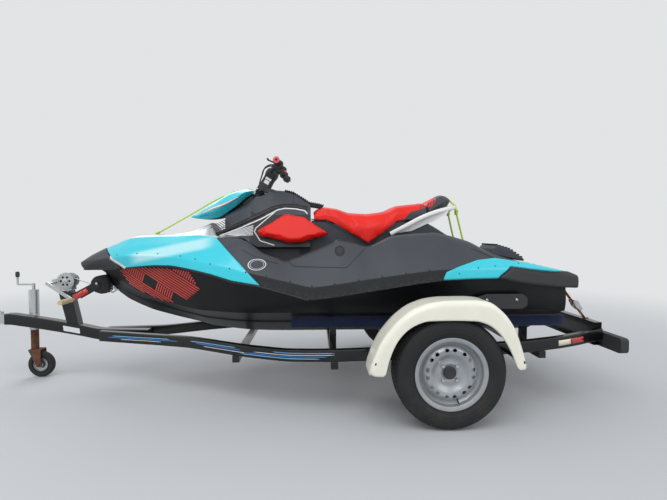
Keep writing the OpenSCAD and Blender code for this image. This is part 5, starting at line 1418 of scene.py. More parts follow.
@dataclass
class Steering:
    """Riser, bar, grips, switch housings, levers and cables, on the leaning column."""

    column: tuple[float, float, float] = (1024.0, 0.0, 1233.0)
    lean: float = 30.0
    head: float = 150.0
    bar: float = 22.0
    width: float = 760.0
    grip: float = 118.0
    swept: float = -38.0

    def on(self, p: np.ndarray) -> np.ndarray:
        """Column points (forward, port, along the column) turned back by its lean."""
        p = np.asarray(p, float)
        a = math.radians(self.lean)
        x, y, z = p[..., 0], p[..., 1], p[..., 2]
        return np.stack([x * math.cos(a) - z * math.sin(a), y, x * math.sin(a) + z * math.cos(a)],
            -1) + self.column

    def make(self) -> None:
        """Builds the fixed collar, then all that turns."""
        machined("steering_column", Paint.plastic, bevel=2)
        self.boot()
        self.riser()
        self.grips()
        self.controls()

    def boot(self) -> None:
        """Rubber bellows round the column, as a lathe of rounded folds."""
        z = np.linspace(-8, 16, 40)
        r = 39 + 3.2 * np.cos(z / 24 * np.pi * 2 * 3)
        ring = np.stack([np.column_stack([circle(q, 40), np.full(40, h)]) for q, h in zip(r, z)])
        inner = np.stack([np.column_stack([circle(34.0, 40), np.full(40, h)]) for h in (16, -8)])
        Shell("column_boot").grid(self.on(np.concatenate([ring, inner])), wrap_u=True,
            wrap_v=True).build(Paint.rubber)

    def riser(self) -> None:
        """Boxy riser that tapers to its head, the clamp, the bar and its pad."""
        s = Shell("handlebar_shell")
        sq = fillet([(-1.0, -1), (-1, 1), (1, 1), (1, -1)], 0.55, 6, loop=True)
        rows = [(22, 40, 40), (30, 41, 42), (60, 38, 40), (96, 36, 40), (118, 36, 46), (132, 39, 58),
            (150, 40, 64), (168, 36, 62), (178, 26, 52), (181, 10, 32)]
        s.grid(self.on(np.stack([np.column_stack([sq[:, 0] * a - 3, sq[:, 1] * b, np.full(len(sq), h)]) for h,
            a, b in rows])), wrap_v=True, caps=True)
        s.grid(self.on(np.stack([np.column_stack([circle(14.0, 24), np.full(24, h)]) for h in (-46.0, 24.0)])),
            wrap_v=True, caps=True)
        g = self.width / 2
        line = [(0, 30, self.head + 8), (0, 76, self.head + 14), (self.swept * 0.6, 150, self.head + 46),
            (self.swept, g - self.grip - 72, self.head + 58), (self.swept, g - 4, self.head + 58)]
        for k in (1, -1):
            s.grid(self.on(sweep(bent(np.array(line) * (1, k, 1), 46), circle(self.bar / 2 + 1.5, 16),
                up=(1, 0, 0))), wrap_v=True, caps=True)
        s.build(Paint.plastic, "steering", ["handlebar"], "black_alloy", sharp=40)
        pad = Shell("bar_pad")
        rows = [(-62, 0.4), (-58, 0.9), (-40, 1), (40, 1), (58, 0.9), (62, 0.4)]
        pad.grid(self.on(np.stack([np.column_stack([sq[:, 0] * 34 * k - 14, np.full(len(sq), y),
            sq[:, 1] * 21 * k + 196]) for y, k in rows])), wrap_v=True, caps=True)
        pad.build(Paint.rubber, "steering", sharp=50)
        plate = Shell("riser_plates")
        for k, (z0, z1, w) in enumerate(((72, 96, 17), (100, 116, 20))):
            o = fillet([(-w, z0), (-w, z1), (w, z1), (w, z0)], 3, 4, loop=True)
            ring = [np.column_stack([o[:, 0] - 3, np.full(len(o), y), o[:, 1]]) for y in (37.0, 43.5 + 1.5 * k)]
            plate.grid(self.on(np.stack(ring)), wrap_v=True, caps=True)
        plate.both().build(Paint.print_white, "steering")
        cables = Shell("control_cables")
        for k, (y, dz) in enumerate(((1, 0), (1, -10), (-1, 0))):
            pts = [(self.swept + 10, y * (g - self.grip - 38), self.head + 44 + dz),
                (14, y * 170, self.head + 30 + dz), (44, y * 90, self.head - 10 + dz),
                (40, y * 38, self.head - 70), (20, y * 20, 12)]
            cables.grid(self.on(sweep(bent(np.array(pts), 40), circle(4.2 - 0.4 * k, 8), up=(1, 0.3, 0))),
                wrap_v=True, caps=True)
        cables.build(Paint.rubber, "steering")

    def grips(self) -> None:
        """Ribbed grips with a flange inside and a coloured ring at the bar end."""
        g0, g1 = self.width / 2 - self.grip, self.width / 2
        z = self.head + 58
        y = np.linspace(0, self.grip - 9, 110)
        r = 15.2 + 1.5 * (np.sin(y / 6.2 * np.pi * 2) > 0) * smoothstep(10, 14, y) + 5.5 * smoothstep(7, 2, y)
        prof = np.concatenate([[(12.6, 0)], np.column_stack([r, y]),
            [(15, self.grip - 8), (12.6, self.grip - 8)]])
        s, e = Shell("hand_grip_covers"), Shell("grip_end_rings")
        ends = ((12.6, self.grip - 8), (18.5, self.grip - 8), (19.6, self.grip - 6), (19.6, self.grip - 2),
            (17, self.grip), (8, self.grip), (6, self.grip - 3), (0.01, self.grip - 3.2))
        for k in (1, -1):
            for shell, q, loop in ((s, prof, True), (e, ends, False)):
                base = spun(q, (0, 0, 0), "y", 32) * (1, k, 1) + (self.swept, k * g0, z)
                shell.grid(self.on(base), wrap_u=True, wrap_v=loop)
        s.build(Paint.rubber, "steering", ["hand_grips"], "black_rubber", sharp=40)
        e.build(Paint.pink, "steering", sharp=40)
        plug = Shell("bar_end_plugs")
        for k in (1, -1):
            plug.grid(self.on(spun(((0.01, self.grip + 0.6), (5, self.grip), (6.2, self.grip - 3.4)), (0, 0, 0),
                "y", 16) * (1, k, 1) + (self.swept, k * g0, z)), wrap_u=True)
        plug.build(Paint.print_black, "steering", closed=False)

    def controls(self) -> None:
        """Switch housings with buttons, clamp rings, and a curved lever on each side."""
        g0 = self.width / 2 - self.grip
        z = self.head + 58
        s, b = Shell("lever_housings"), Shell("switch_buttons")
        sq = fillet([(-1.0, -1), (-1, 1), (1, 1), (1, -1)], 0.7, 6, loop=True)
        for k in (1, -1):
            rows = [(g0 - 46, 16, 18), (g0 - 42, 24, 26), (g0 - 10, 26, 27), (g0 - 3, 22, 23), (g0 - 1, 15, 15)]
            s.grid(self.on(np.stack([np.column_stack([sq[:, 0] * a + self.swept - 4, np.full(len(sq), k * y),
                sq[:, 1] * c + z - 4]) for y, a, c in rows])), wrap_v=True, caps=True)
            rows = [(g0 - 78, 12, 12), (g0 - 72, 22, 22), (g0 - 34, 24, 24), (g0 - 26, 16, 16)]
            s.grid(self.on(np.stack([np.column_stack([sq[:, 0] * a + self.swept - 38, np.full(len(sq), k * y),
                sq[:, 1] * c + z - 20]) for y, a, c in rows])), wrap_v=True, caps=True)
            lever = bent([(self.swept + 22, k * (g0 - 22), z - 6), (self.swept + 44, k * (g0 - 8), z - 12),
                (self.swept + 55, k * (g0 + 14), z - 16), (self.swept + 54, k * (g0 + 60), z - 18),
                (self.swept + 48, k * (g0 + 88), z - 19)], 30)
            s.grid(self.on(sweep(lever, circle(1, 10) * (1.0, 0.75), up=(0, 0, 1),
                scale=np.interp(np.arange(30), [0, 4, 24, 29], [9, 6.5, 6, 7.5]))), wrap_v=True, caps=True)
            for dz, dx in ((8, self.swept - 24), (-12, self.swept - 58)):
                b.grid(self.on(np.stack([np.column_stack([np.full(16, dx - 4.0 - h),
                    k * (g0 - 24) + circle(r, 16)[:, 0], z + dz - 8 + circle(r, 16)[:, 1]]) for r,
                    h in ((6.5, -8), (6.5, 3), (5, 5), (0.1, 5.4))])), wrap_v=True)
        s.build(Paint.plastic, "steering", ["control_levers"], "black_plastic", sharp=40)
        b.build(Paint.print_red, "steering", closed=False)


# ------------------------------------------------------------------------- trailer
@dataclass
class Trailer:
    """Frame of the trailer: rails, drawbar, crossmembers, bunks, lamps and stripes."""

    rail: Rows = ((-1004, 452, 385), (-844, 498, 367), (-705, 528, 355), (-472, 560, 341), (-100, 578, 325),
        (385, 578, 314), (547, 572, 308),
                  (815, 530, 301), (1050, 440, 302), (1430, 248, 309), (1700, 138, 303), (2050, 58, 310))
    bar: Rows = ((1760, 0, 303), (2050, 0, 310), (2190, 0, 337), (2440, 0, 383), (2560, 0, 402), (2650, 0, 414),
        (2670, 0, 414))
    rail_w: float = 45.0
    rail_h: float = 65.0

    def section(self, w: float, h: float, r: float = 6.0) -> np.ndarray:
        """A box section with rounded corners."""
        return fillet([(-w / 2, -h / 2), (-w / 2, h / 2), (w / 2, h / 2), (w / 2, -h / 2)], r, 5, loop=True)

    def side_line(self, x: np.ndarray) -> np.ndarray:
        """Centre line of the port rail at stations x: half chords, half smooth cubic."""
        t = np.asarray(self.rail, float)
        lin = np.stack([np.interp(x, t[:, 0], t[:, k]) for k in (1, 2)], -1)
        return np.column_stack([x, lin * 0.5 + pchip(x, t) * 0.5])

    def upright(self, path: np.ndarray, prof: np.ndarray) -> np.ndarray:
        """A profile held upright in y and z along a path, square ends and all."""
        return path[:, None] + np.stack([np.zeros(len(prof)), prof[:, 0], prof[:, 1]], -1)[None]

    def make(self) -> None:
        """Builds the frame, then what is fixed to it."""
        x = np.concatenate([np.linspace(-1004, 2050, 130)])
        for s in Side:
            Shell("rail_shell_" + s.tag).grid(self.upright(self.side_line(x),
                self.section(self.rail_w, self.rail_h)), wrap_v=True, caps=True).build(
                Paint.paint, stands_for=["side_rail_" + s.tag], slot="black_paint", side=s, sharp=50)
        bx = np.linspace(1760, 2670, 70)
        Shell("drawbar_shell").grid(self.upright(np.column_stack([bx, 0 * bx, pchip(bx, self.bar)[:, 1]]),
            self.section(69, 70, 7)), wrap_v=True, caps=True).build(
            Paint.paint, stands_for=["drawbar"], slot="black_paint", sharp=50)
        for node, ease in (("crossmembers", 2.5), ("rear_beam", 1.5), ("axle_beam", 3.0)):
            machined(node, Paint.paint, bevel=ease)
        self.stripes()
        self.bunks()
        self.lamps()

    def band(self, x0: float, x1: float, z0: float, z1: float, tall: float, n: int = 40) -> np.ndarray:
        """A band on the rail's outer face, from height z0 to z1 over its centre line."""
        x = np.linspace(x0, x1, n)
        c = self.side_line(x)
        t = np.linspace(0, 1, n)
        tip = tall / 2 * np.minimum(1, np.minimum(t, 1 - t) * 14 + 0.25)
        z = c[:, 2] + z0 + (z1 - z0) * t
        y = c[:, 1] + self.rail_w / 2 + 0.5
        return np.stack([np.column_stack([x, y, z + k * tip]) for k in (-1, 0, 1)], 1)

    def stripes(self) -> None:
        """Fine stripes, blank data plate and two-tone reflectors along the rail sides."""
        sets = (("stripes_sky", Paint.sky, [(1560, 1960, 12, 8, 4.0), (1120, 1420, 15, 12, 4),
            (640, 1090, -15, -14, 4), (560, 900, 16, 16, 3)]),
                ("stripes_blue", Paint.blue, [(1500, 1990, 3, -2, 5.0), (1090, 1380, 5, 3, 5),
                (600, 1060, -4, -6, 5)]),
                ("stripes_white", Paint.print_white,
                [(1620, 1900, -8, -10, 3.0), (1060, 1330, -7, -8, 3), (560, 1010, 6, 4, 3)]))
        for name, paint, rows in sets:
            s = Shell(name)
            for r in rows:
                s.grid(self.band(*r))
            s.both().build(paint, wall=0.5, closed=False)
        for name, paint, x0, x1 in (("reflector_front", Paint.cream, -778, -698),
                ("reflector_back", Paint.signal, -862, -782)):
            s = Shell(name)
            x = np.linspace(x0, x1, 8)
            c = self.side_line(x)
            y = c[:, 1] + self.rail_w / 2 + 1.0
            s.grid(np.stack([np.column_stack([x, y, c[:, 2] + k]) for k in (-15, 0, 15)], 1))
            s.both().build(paint, wall=1.6, closed=False)
        plate = Shell("data_plate")
        o = fillet([(2192, 318), (2196, 352), (2300, 372), (2296, 338)], 4, 4, loop=True)
        plate.plate(o, 35.2, 36.6, 0.3)
        plate.build(Paint.print_white)

    def bunks(self) -> None:
        """Carpeted bunks: rounded timbers under carpet, with a folded-over end."""
        y0, y1, z0 = 304.0, 356.0, 320 + 356 * 195 / 440 - 66
        prof = fillet([(y0, z0), (y1, z0), (y1, 320 + y1 * 195 / 440 - 0.6), (y0, 320 + y0 * 195 / 440 - 0.6)],
            7, 5, loop=True)
        x = np.concatenate([[-835, -832], np.linspace(-826, 796, 90), [802, 805]])
        k = np.interp(x, [-835, -826, 796, 805], [0.9, 1, 1, 0.9])[:, None, None]
        c = prof.mean(0)
        p = np.concatenate([np.broadcast_to(x[:, None, None], (len(x), len(prof), 1)), c + (prof - c) * k], -1)
        s = Shell("bunk_covers").grid(p, wrap_v=True, caps=True).both()
        s.build(Paint.carpet, stands_for=["bunks"], slot="navy_carpet", sharp=60)

    def lamps(self) -> None:
        """Tail lights: dished black housings round ribbed red and amber lenses."""
        h = Shell("lamp_housings")
        out = fillet([(370.0, 308), (370, 392), (620, 392), (620, 308)], 20, 7, loop=True)
        c = out.mean(0)
        rings = [(-1010.6, 0), (-1052, 0), (-1058, 3), (-1060, 7), (-1056.5, 10), (-1056, 12)]
        h.grid(np.stack([np.column_stack([np.full(len(out), x),
            c + (out - c) * (1 - d / np.array([125.0, 42]))]) for x, d in rings]), wrap_v=True, caps=True)
        h.both().build(Paint.plastic, stands_for=["tail_lights"], slot="black_plastic")
        for name, paint, a, b in (("lens_red", Paint.lens, 384, 530), ("lens_amber", Paint.amber, 534, 606)):
            s = Shell(name)
            y = np.linspace(a, b, 60)
            z = np.linspace(322, 378, 12)
            x = np.full((60, 12), -1057.0) - 1.2 * (1 + np.sin(y / 4.2 * np.pi)[:, None]) * np.ones(12)
            s.grid(np.stack([x, np.broadcast_to(y[:, None], (60, 12)), np.broadcast_to(z, (60, 12))], -1))
            s.both().build(paint, wall=1.0, closed=False)


@dataclass
class Running:
    """Road wheels and mudguards."""

    track: float = 772.0
    axle: float = 281.0
    tyre_d: float = 562.0
    tyre_w: float = 165.0
    rim_d: float = 365.0
    guard_out: Rows = ((402, 5), (396, 40), (379, 90), (348, 158), (300, 225), (240, 285), (176, 326),
        (96, 352), (20, 360), (-90, 361), (-171, 354),
                       (-240, 310), (-296, 240), (-338, 140), (-370, 30))
    guard_in: Rows = ((330, 2), (318, 60), (290, 140), (250, 202), (190, 248), (120, 270), (20, 272),
        (-110, 268), (-170, 250), (-236, 196), (-290, 108), (-324, 26))

    def make(self) -> None:
        """Builds both wheels and both guards."""
        for s in Side:
            self.tyre(s)
            self.rim(s)
            self.guard(s)

    def tyre(self, side: Side) -> None:
        """Tyre: a turned section whose crown radius dips in ring grooves and slanted sipes.

        The tread's radius falls by the groove depth where the distance from a ring groove is
        small, or where the sine of the slanted angle passes a threshold at the shoulders.
        """
        r, b, w = self.tyre_d / 2, self.rim_d / 2, self.tyre_w / 2
        out = fillet([(r - 0.6, 0), (r - 1.5, w * 0.5), (r - 5, w * 0.74), (r - 16, w * 0.93),
            (r - 36, w * 0.99), (r - 56, w), (r - 76, w * 0.95),
                               (b + 8, w * 0.86), (b - 1, w * 0.84), (b - 2, 68.8), (b - 12, 67.5)], 9, 4)
        line = densify(out, 74)
        prof = np.concatenate([(line * (1, -1))[:0:-1], line])
        n = 300
        a = np.linspace(0, 2 * np.pi, n, endpoint=False)[:, None]
        rad, off = prof[:, 0][None], prof[:, 1][None]
        crown = smoothstep(w * 0.96, w * 0.84, np.abs(off)) * (rad > r - 22)
        rings = np.zeros_like(off)
        for g in (-46.0, -17.0, 17.0, 46.0):
            rings = np.maximum(rings, 1 - smoothstep(2.2, 4.0, np.abs(off - g)))
        sipe = (smoothstep(0.80, 0.93, np.sin(75 * a + 0.10 * np.abs(off))) * smoothstep(44, 50,
            np.abs(off)) + 0.6 * smoothstep(0.9, 0.98, np.sin(75 * a + 0.12 * off)) * (np.abs(off) < 44))
        depth = np.clip(np.maximum(rings, sipe), 0, 1) * crown * 6.5
        ribs = 0.9 * np.sin((rad - b) / 3.2) * (rad < r - 60) * (rad > b + 12)
        wall = ribs + 1.2 * (np.abs(rad - (r - 52)) < 1.8)
        rr = rad - depth
        oo = off + np.sign(off) * wall * 0.6
        p = np.stack([rr * np.sin(a), oo * np.ones_like(a), rr * np.cos(a)], -1) + (0, self.track, self.axle)
        s = Shell("tyre_" + side.tag + "_tread").grid(p, wrap_u=True)
        inner = [(b - 12, 67.5), (b - 18, 50), (b - 4, 40), (b - 4, -40), (b - 18, -50), (b - 12, -67.5)]
        s.lathe(inner, (0, self.track, self.axle), "y", n, loop=False)
        s.build(Paint.tyre, "wheel_" + side.tag, ["tyre_" + side.tag], "tyre", side=side, sharp=38, weld=0.05)

    def rim(self, side: Side) -> None:
        """Pressed steel wheel: barrel and dished disc turned together, vents cut as ovals."""
        r = self.rim_d / 2
        prof = fillet([(r, 75), (r - 1, 70), (r - 16, 68), (r - 19, 44), (r - 36, 30), (r - 36, -8),
            (r - 19, -24), (r - 19, -68), (r - 1, -70), (r, -75),
                                (r - 6, -75), (r - 22, -71), (r - 23, -22), (r - 40, -6), (r - 40, 12),
                                (r - 48, 38), (r - 62, 51), (r - 84, 47), (r - 100, 36), (r - 112, 30),
                                (22, 30), (22, 36), (r - 113, 36.5), (r - 103, 42), (r - 86, 54), (r - 64, 58),
                                (r - 48, 46), (r - 40, 32), (r - 25, 46), (r - 22, 70), (r - 6, 75)], 3.5, 4,
                                loop=True)
        c = (0, self.track, self.axle)
        body = Shell("rim_" + side.tag + "_disc").lathe(prof, c, "y", 160)
        obj = body.build(Paint.rim, "wheel_" + side.tag, ["rim_" + side.tag], "silver_paint", side=side,
            sharp=50)
        cut, lips = Shell("vent_cutter_" + side.tag), Shell("vent_lips_" + side.tag)
        for k in range(16):
            a = math.radians(45 * (k // 2) + (9.5 if k % 2 else -9.5))
            q = circle(1.0, 22) * (12.5, 10.5)
            ring = np.stack([q[:, 0] * math.cos(a) + (r - 66 + q[:, 1]) * math.sin(a),
                -q[:, 0] * math.sin(a) + (r - 66 + q[:, 1]) * math.cos(a)], -1)
            cut.grid(np.stack([np.column_stack([ring[:, 0], np.full(22, self.track + y),
                self.axle + ring[:, 1]]) for y in (30.0, 70.0)]), wrap_v=True, caps=True)
            face = self.track + np.interp(np.hypot(ring[:, 0], ring[:, 1]), [r - 103, r - 86, r - 64, r - 48],
                [42, 54, 58, 46])
            loop = np.column_stack([ring[:, 0], face, self.axle + ring[:, 1]])
            lips.grid(np.stack([loop + d for d in sweep_loop(loop, 2.4)], 1).reshape(22, -1, 3), wrap_u=True,
                wrap_v=True)
        tool = cut.build(Paint.rim, side=side)
        b = obj.modifiers.new("vents", "BOOLEAN")
        b.operation, b.object, b.solver = "DIFFERENCE", tool, "EXACT"
        bpy.context.view_layer.update()
        obj.data = bpy.data.meshes.new_from_object(obj.evaluated_get(bpy.context.evaluated_depsgraph_get()))
        obj.modifiers.remove(b)
        obj.data.set_sharp_from_angle(angle=math.radians(50))
        bpy.data.objects.remove(tool)
        lips.build(Paint.rim, "wheel_" + side.tag, side=side)
        hub = Shell("hub_" + side.tag)
        hub.lathe(((0.01, -34), (54, -34), (56, -32), (56, 28), (54, 30), (0.01, 30)), c, "y", 48, loop=False)
        hub.lathe(((0.01, 30), (60, 30), (62, 33), (60, 38), (44, 40), (40, 37.4), (0.01, 37.4)), c, "y", 64,
            loop=False)
        hub.build(Paint.rim, "wheel_" + side.tag, side=side)
        nuts = Shell("wheel_nuts_" + side.tag)
        for k in range(4):
            a = math.radians(45 + 90 * k)
            at = np.array(c) + (49 * math.sin(a), 0, 49 * math.cos(a))
            nuts.grid(spun(((10.5, 34), (10.5, 45), (8.5, 48), (6, 47), (0.01, 46)), at, "y", 6), wrap_u=True)
        for k in range(4):
            a = math.radians(90 * k)
            at = np.array(c) + (49 * math.sin(a), 0, 49 * math.cos(a))
            nuts.grid(spun(((6, 36), (5.4, 38.6), (0.01, 38.2)), at, "y", 14), wrap_u=True)
        nuts.build(Paint.steel, "wheel_" + side.tag, side=side, closed=False, sharp=30)
        cap = Shell("hub_cap_" + side.tag)
        cap.lathe(((0.01, 30), (33, 30), (32, 42), (30, 49), (26, 52), (22, 50.4), (0.01, 51.2)), c, "y", 48,
            loop=False)
        cap.build(Paint.plastic, "wheel_" + side.tag, side=side)
        valve = Shell("valve_" + side.tag)
        va = math.radians(196)
        at = np.array(c) + ((r - 44) * math.sin(va), 42, (r - 44) * math.cos(va))
        valve.tube(np.array([at, at + (2, 14, -4), at + (3, 30, -8)]), 3.6, 8)
        valve.build(Paint.rubber, "wheel_" + side.tag, side=side)

    def guard(self, side: Side) -> None:
        """Mudguard: a section carried along the arch, with a full outer corner and rounded ends.

        At each step the section runs out over the tyre, turns down through a quarter circle,
        drops to the inner edge and rolls back; near its ends the skirt narrows as an ellipse.
        """
        k = (self.tyre_d / 2 + 75 + 4) / 360
        n = 120
        o = densify(bent(np.array(self.guard_out, float) * k, 200), n)
        i = densify(bent(np.array(self.guard_in, float) * k, 200), n)
        s = np.concatenate([[0], np.cumsum(np.linalg.norm(np.diff(o, axis=0), axis=1))])
        d = i - o
        length = np.linalg.norm(d, axis=1)
        e = d / length[:, None]
        rho = 34.0
        near = np.clip(np.minimum(s, s[-1] - s) / rho, 0, 1)
        pinch = (1 - np.sqrt(1 - (1 - near) ** 2)) * 0.42
        y1 = self.track + self.tyre_w / 2 + 12
        y0 = self.track - self.tyre_w / 2 + 6
        rad = 26.0
        a = np.linspace(0, np.pi / 2, 9)
        prof = [(y, 0.0, 0.0) for y in np.linspace(y0, y1 - rad, 10)] + [(y1 - rad + rad * math.sin(t),
            rad * (1 - math.cos(t)), 0.0) for t in a[1:]]
        prof += [(y1, rad + 6, f) for f in np.linspace(0.08, 0.94, 12)] + [(y1 - 0.6, 0.0, 0.97),
            (y1 - 3, 0.0, 0.995), (y1 - 7, 0.0, 1.0)]
        rows = []
        for y, r, f in prof:
            reach = r + f * (length - r) if f else np.full(n, r)
            reach = reach * (1 - pinch) + pinch * length * (0.5 if f or r else 0.0) * 1.0
            rows.append(np.column_stack([o[:, 0] + e[:, 0] * reach, np.full(n, y),
                self.axle + o[:, 1] + e[:, 1] * reach]))
        Shell("mudguard_shell_" + side.tag).grid(np.stack(rows, 1)).build(Paint.guard,
            stands_for=["mudguard_" + side.tag], slot="white_paint", side=side, closed=False, wall=3.6,
            sharp=60)
        arms = Shell("guard_arms_" + side.tag)
        for px in (378, -352):
            x = px * k
            y = float(np.interp(x, [-472, -100, 385, 547], [560, 578, 578, 572])) + 24
            arms.tube(np.array([(x, y, self.axle + 62), (x, y1 - 40, self.axle + 62)]), 11, 16, up=(1, 0, 0))
            arms.lathe(((0.01, y1 - 6), (9, y1 - 6), (9, y1 + 0.6), (0.01, y1 + 2)),
                (x * 0.985, 0, self.axle + 62), "y", 6, loop=False)
        arms.build(Paint.paint, side=side)


def sweep_loop(loop: np.ndarray, r: float) -> list[np.ndarray]:
    """Offsets of a small round section about a closed loop that lies nearly in a y plane."""
    t = unit(np.roll(loop, -1, 0) - np.roll(loop, 1, 0))
    side = unit(np.cross(t, (0.0, 1.0, 0.0)))
    return [side * r * math.cos(a) + np.array((0.0, 1.0, 0.0)) * r * math.sin(a) for a in np.linspace(0,
        2 * np.pi, 6, endpoint=False)]


@dataclass
class Fittings:
    """Winch, bow stop, coupler, jack, jet drive, straps and rope."""

    def make(self) -> None:
        """Finishes each fitting from its frame node, then adds what these lack."""
        hard = (("winch_post", "paint", "outfit", 2, "black_paint"),
            ("bow_stop", "rubber", "outfit", 4, "black_rubber"),
            ("winch_frame", "zinc", "outfit", 0.8, "galvanized"),
                ("winch_drum", "zinc", "drum", 0.8, "galvanized"),
                ("winch_crank", "steel", "crank", 1.5, "galvanized"),
                ("winch_cable", "steel", "outfit", 0, "stainless"),
                ("coupler", "zinc", "outfit", 4, "galvanized"),
                ("jack_tube", "zinc", "outfit", 1.5, "galvanized"),
                ("jack_leg", "rust", "leg", 1.5, "rusty_paint"),
                ("jack_fork", "rust", "fork", 1.2, "rusty_paint"),
                ("jockey_wheel", "rubber", "jockey", 3, "black_rubber"),
                ("jet_pump", "alloy", "outfit", 1.2, "cast_alloy"),
                ("impeller", "steel", "impeller_shaft", 0.8, "stainless"),
                ("steering_nozzle", "alloy", "nozzle", 1.5, "cast_alloy"),
                ("reverse_gate", "plastic", "gate", 1.5, "black_plastic"),
                ("ride_plate", "plastic", "outfit", 1.5, "black_plastic"),
                ("engine", "alloy", "outfit", 8, "cast_alloy"))
        for node, paint, body, ease, slot in hard:
            machined(node, getattr(Paint, paint), body, ease)
        self.winch()
        self.jack()
        self.rope()
        self.straps()

    def winch(self) -> None:
        """Wound cable, wooden crank grip, gear wheel, bolts and tape on the stop's arm."""
        wire = Shell("drum_winding")
        t = np.linspace(0, 1, 700)
        y = 22 * (2 * np.abs(2 * (t * 2.5 - np.floor(t * 2.5 + 0.5))) - 1)
        r = 24 + 8 * t
        a = t * 2 * np.pi * 22
        wire.tube(np.column_stack([2278 + r * np.cos(a), y, 662 + r * np.sin(a)]), 2.7, 6, up=(0, 1, 0))
        wire.build(Paint.steel, "drum")
        grip = Shell("crank_handle")
        ang = math.atan2(106, 156)
        c = np.array([2344 - 178 * math.cos(ang), 0, 652 - 178 * math.sin(ang)])
        prof = ((0.01, 117.8), (14.0, 117.8), (14.8, 124), (15.2, 150), (16.2, 190), (15.4, 230), (14.8, 243),
            (14.0, 246.3), (0.01, 246.8))
        grip.lathe(prof, c, "y", 32, loop=False)
        grip.build(Paint.wood, "crank")
        gear, a = Shell("winch_gear"), np.linspace(0, 2 * np.pi, 224, endpoint=False)
        teeth = np.stack([np.cos(a), np.sin(a)], -1) * (53.5 + 2.6 * np.clip(2.5 * np.sin(56 * a), -1, 1))[:,
            None]
        gear.plate(teeth + (2278, 662), 34.6, 39.4, 0.5)
        gear.lathe(((14, 39), (14, 44), (10, 46), (0.01, 46)), (2278, 0, 662), "y", 28, loop=False)
        gear.lathe(((46, 39), (45, 41), (40, 41), (39, 39)), (2278, 0, 662), "y", 48)
        gear.build(Paint.zinc, "drum", sharp=30)
        holes = Shell("winch_gear_holes")
        for k in range(6):
            c = np.array([2278 + 27 * math.cos(k * math.pi / 3), 0, 662 + 27 * math.sin(k * math.pi / 3)])
            holes.lathe(((0.01, 39.9), (7.5, 39.9), (7.5, 39.2)), c, "y", 20, loop=False)
        holes.build(Paint.print_black, "drum", closed=False)
        block = Shell("bow_stop_block")
        block.plate(fillet([(2122.0, 618), (2122, 660), (2096, 690), (2050, 700), (2012, 690), (2004, 640),
            (2004, 596), (2032, 577), (2092, 584)], 20, 6, loop=True), -31.5, 31.5, 5)
        block.build(Paint.rubber, sharp=50)
        arm = Shell("stop_arm_cheeks")
        for s in (1, -1):
            arm.plate(fillet([(2246.0, 536), (2250, 570), (2092, 656), (2058, 640), (2068, 614)], 8, 4,
                loop=True), s * 33.8 - 3.2, s * 33.8 + 3.2, 1)
        arm.build(Paint.paint)
        bolts = Shell("winch_bolts")
        for x, z in ((2262, 598), (2318, 604), (2278, 662), (2344, 652)):
            for s in (1, -1):
                bolts.grid(spun(((0.01, s * 38), (5, s * 38), (6.5, s * 36.5), (6.5, s * 33)), (x, 0, z), "y",
                    6), wrap_u=True)
        for x, z in ((2076, 646),):
            for s in (1, -1):
                bolts.grid(spun(((0.01, s * 51), (8, s * 50), (11, s * 46), (11, s * 40)), (x, 0, z), "y", 6),
                    wrap_u=True)
        bolts.build(Paint.steel, closed=False)
        tape = Shell("stop_arm_tape")
        for s in (1, -1):
            p = np.array([(2229, s * 37.4, 552), (2183, s * 37.4, 577), (2139, s * 37.4, 601)], float)
            tape.grid(np.stack([p + (8 * d, 0, 16 * d) for d in (-1, 0, 1)], 1))
        tape.build(Paint.signal, closed=False, wall=0.7)

    def jack(self) -> None:
        """Crank knob, clamp bolts, wheel rim discs and the coupler's handle grip."""
        s = Shell("jack_knob")
        s.lathe(((0.01, 676), (9, 676), (12, 682), (12.5, 704), (10, 712), (0.01, 714)), (2662, -92, 0), "z",
            24, loop=False)
        s.build(Paint.plastic)
        b = Shell("jack_clamp_bolts")
        for dz in (-14, 14):
            b.lathe(((0.01, -66), (8, -66), (8, -60), (0.01, -59)), (2560, 0, 402 + dz), "y", 6, loop=False)
        b.build(Paint.steel)
        h = Shell("jockey_hub")
        h.lathe(((8, -25.6), (22, -25.6), (24, -10), (40, -10.5), (44, -16), (46, -16), (46, 16), (44, 16),
            (40, 10.5), (24, 10), (22, 25.6), (8, 25.6)), (2516, -92, 86), "y", 40)
        h.build(Paint.zinc, "jockey")
        latch = Shell("coupler_grip")
        latch.tube(bent([(2724, 0, 462), (2756, 0, 480), (2792, 0, 497)], 16),
            np.interp(np.arange(16), [0, 2, 13, 15], [8, 10.5, 10.5, 7]), 14, up=(0, 1, 0))
        latch.build(Paint.plastic)

    def rope(self) -> None:
        """Braided line over the bow pod and down from the seat to the deck, with knots."""
        s = Shell("tie_rope")
        front = np.array([(1076, 0, 1255), (1100, 0, 1262.8), (1200, 0, 1244), (1304, 0, 1196.5),
            (1364, 0, 1163.5), (1482, 0, 1093), (1700, 0, 969)], float)
        s.tube(densify(front, 90), 4.6, 12, up=(0, 1, 0))
        for k in (1, -1):
            rear = np.array([(-322, k * 96, 862), (-292, k * 92, 980), (-262, k * 87, 1105),
                (-256, k * 84, 1150), (-226, k * 66, 1182), (-196, k * 40, 1206)], float)
            s.tube(densify(rear, 60), 6.0, 12, up=(0, 1, 0))
            a = np.linspace(0, 2 * np.pi * 3, 70)
            s.tube(np.column_stack([-262 + 8 * np.cos(a), k * 86 + 8 * np.sin(a), 1096 + a * 1.6]), 5.0, 8)
            s.tube(np.column_stack([-321 + 8 * np.cos(a), k * 95 + 8 * np.sin(a), 866 + a * 1.4]), 5.0, 8)
        a = np.linspace(0, 2 * np.pi * 2.5, 60)
        s.tube(np.column_stack([1688 + a * 1.6, 8 * np.cos(a), 975 + 8 * np.sin(a) - a * 0.8]), 4.0, 8,
            up=(0, 0, 1))
        s.build(Paint.rope, stands_for=["tie_line"], slot="lime_rope")

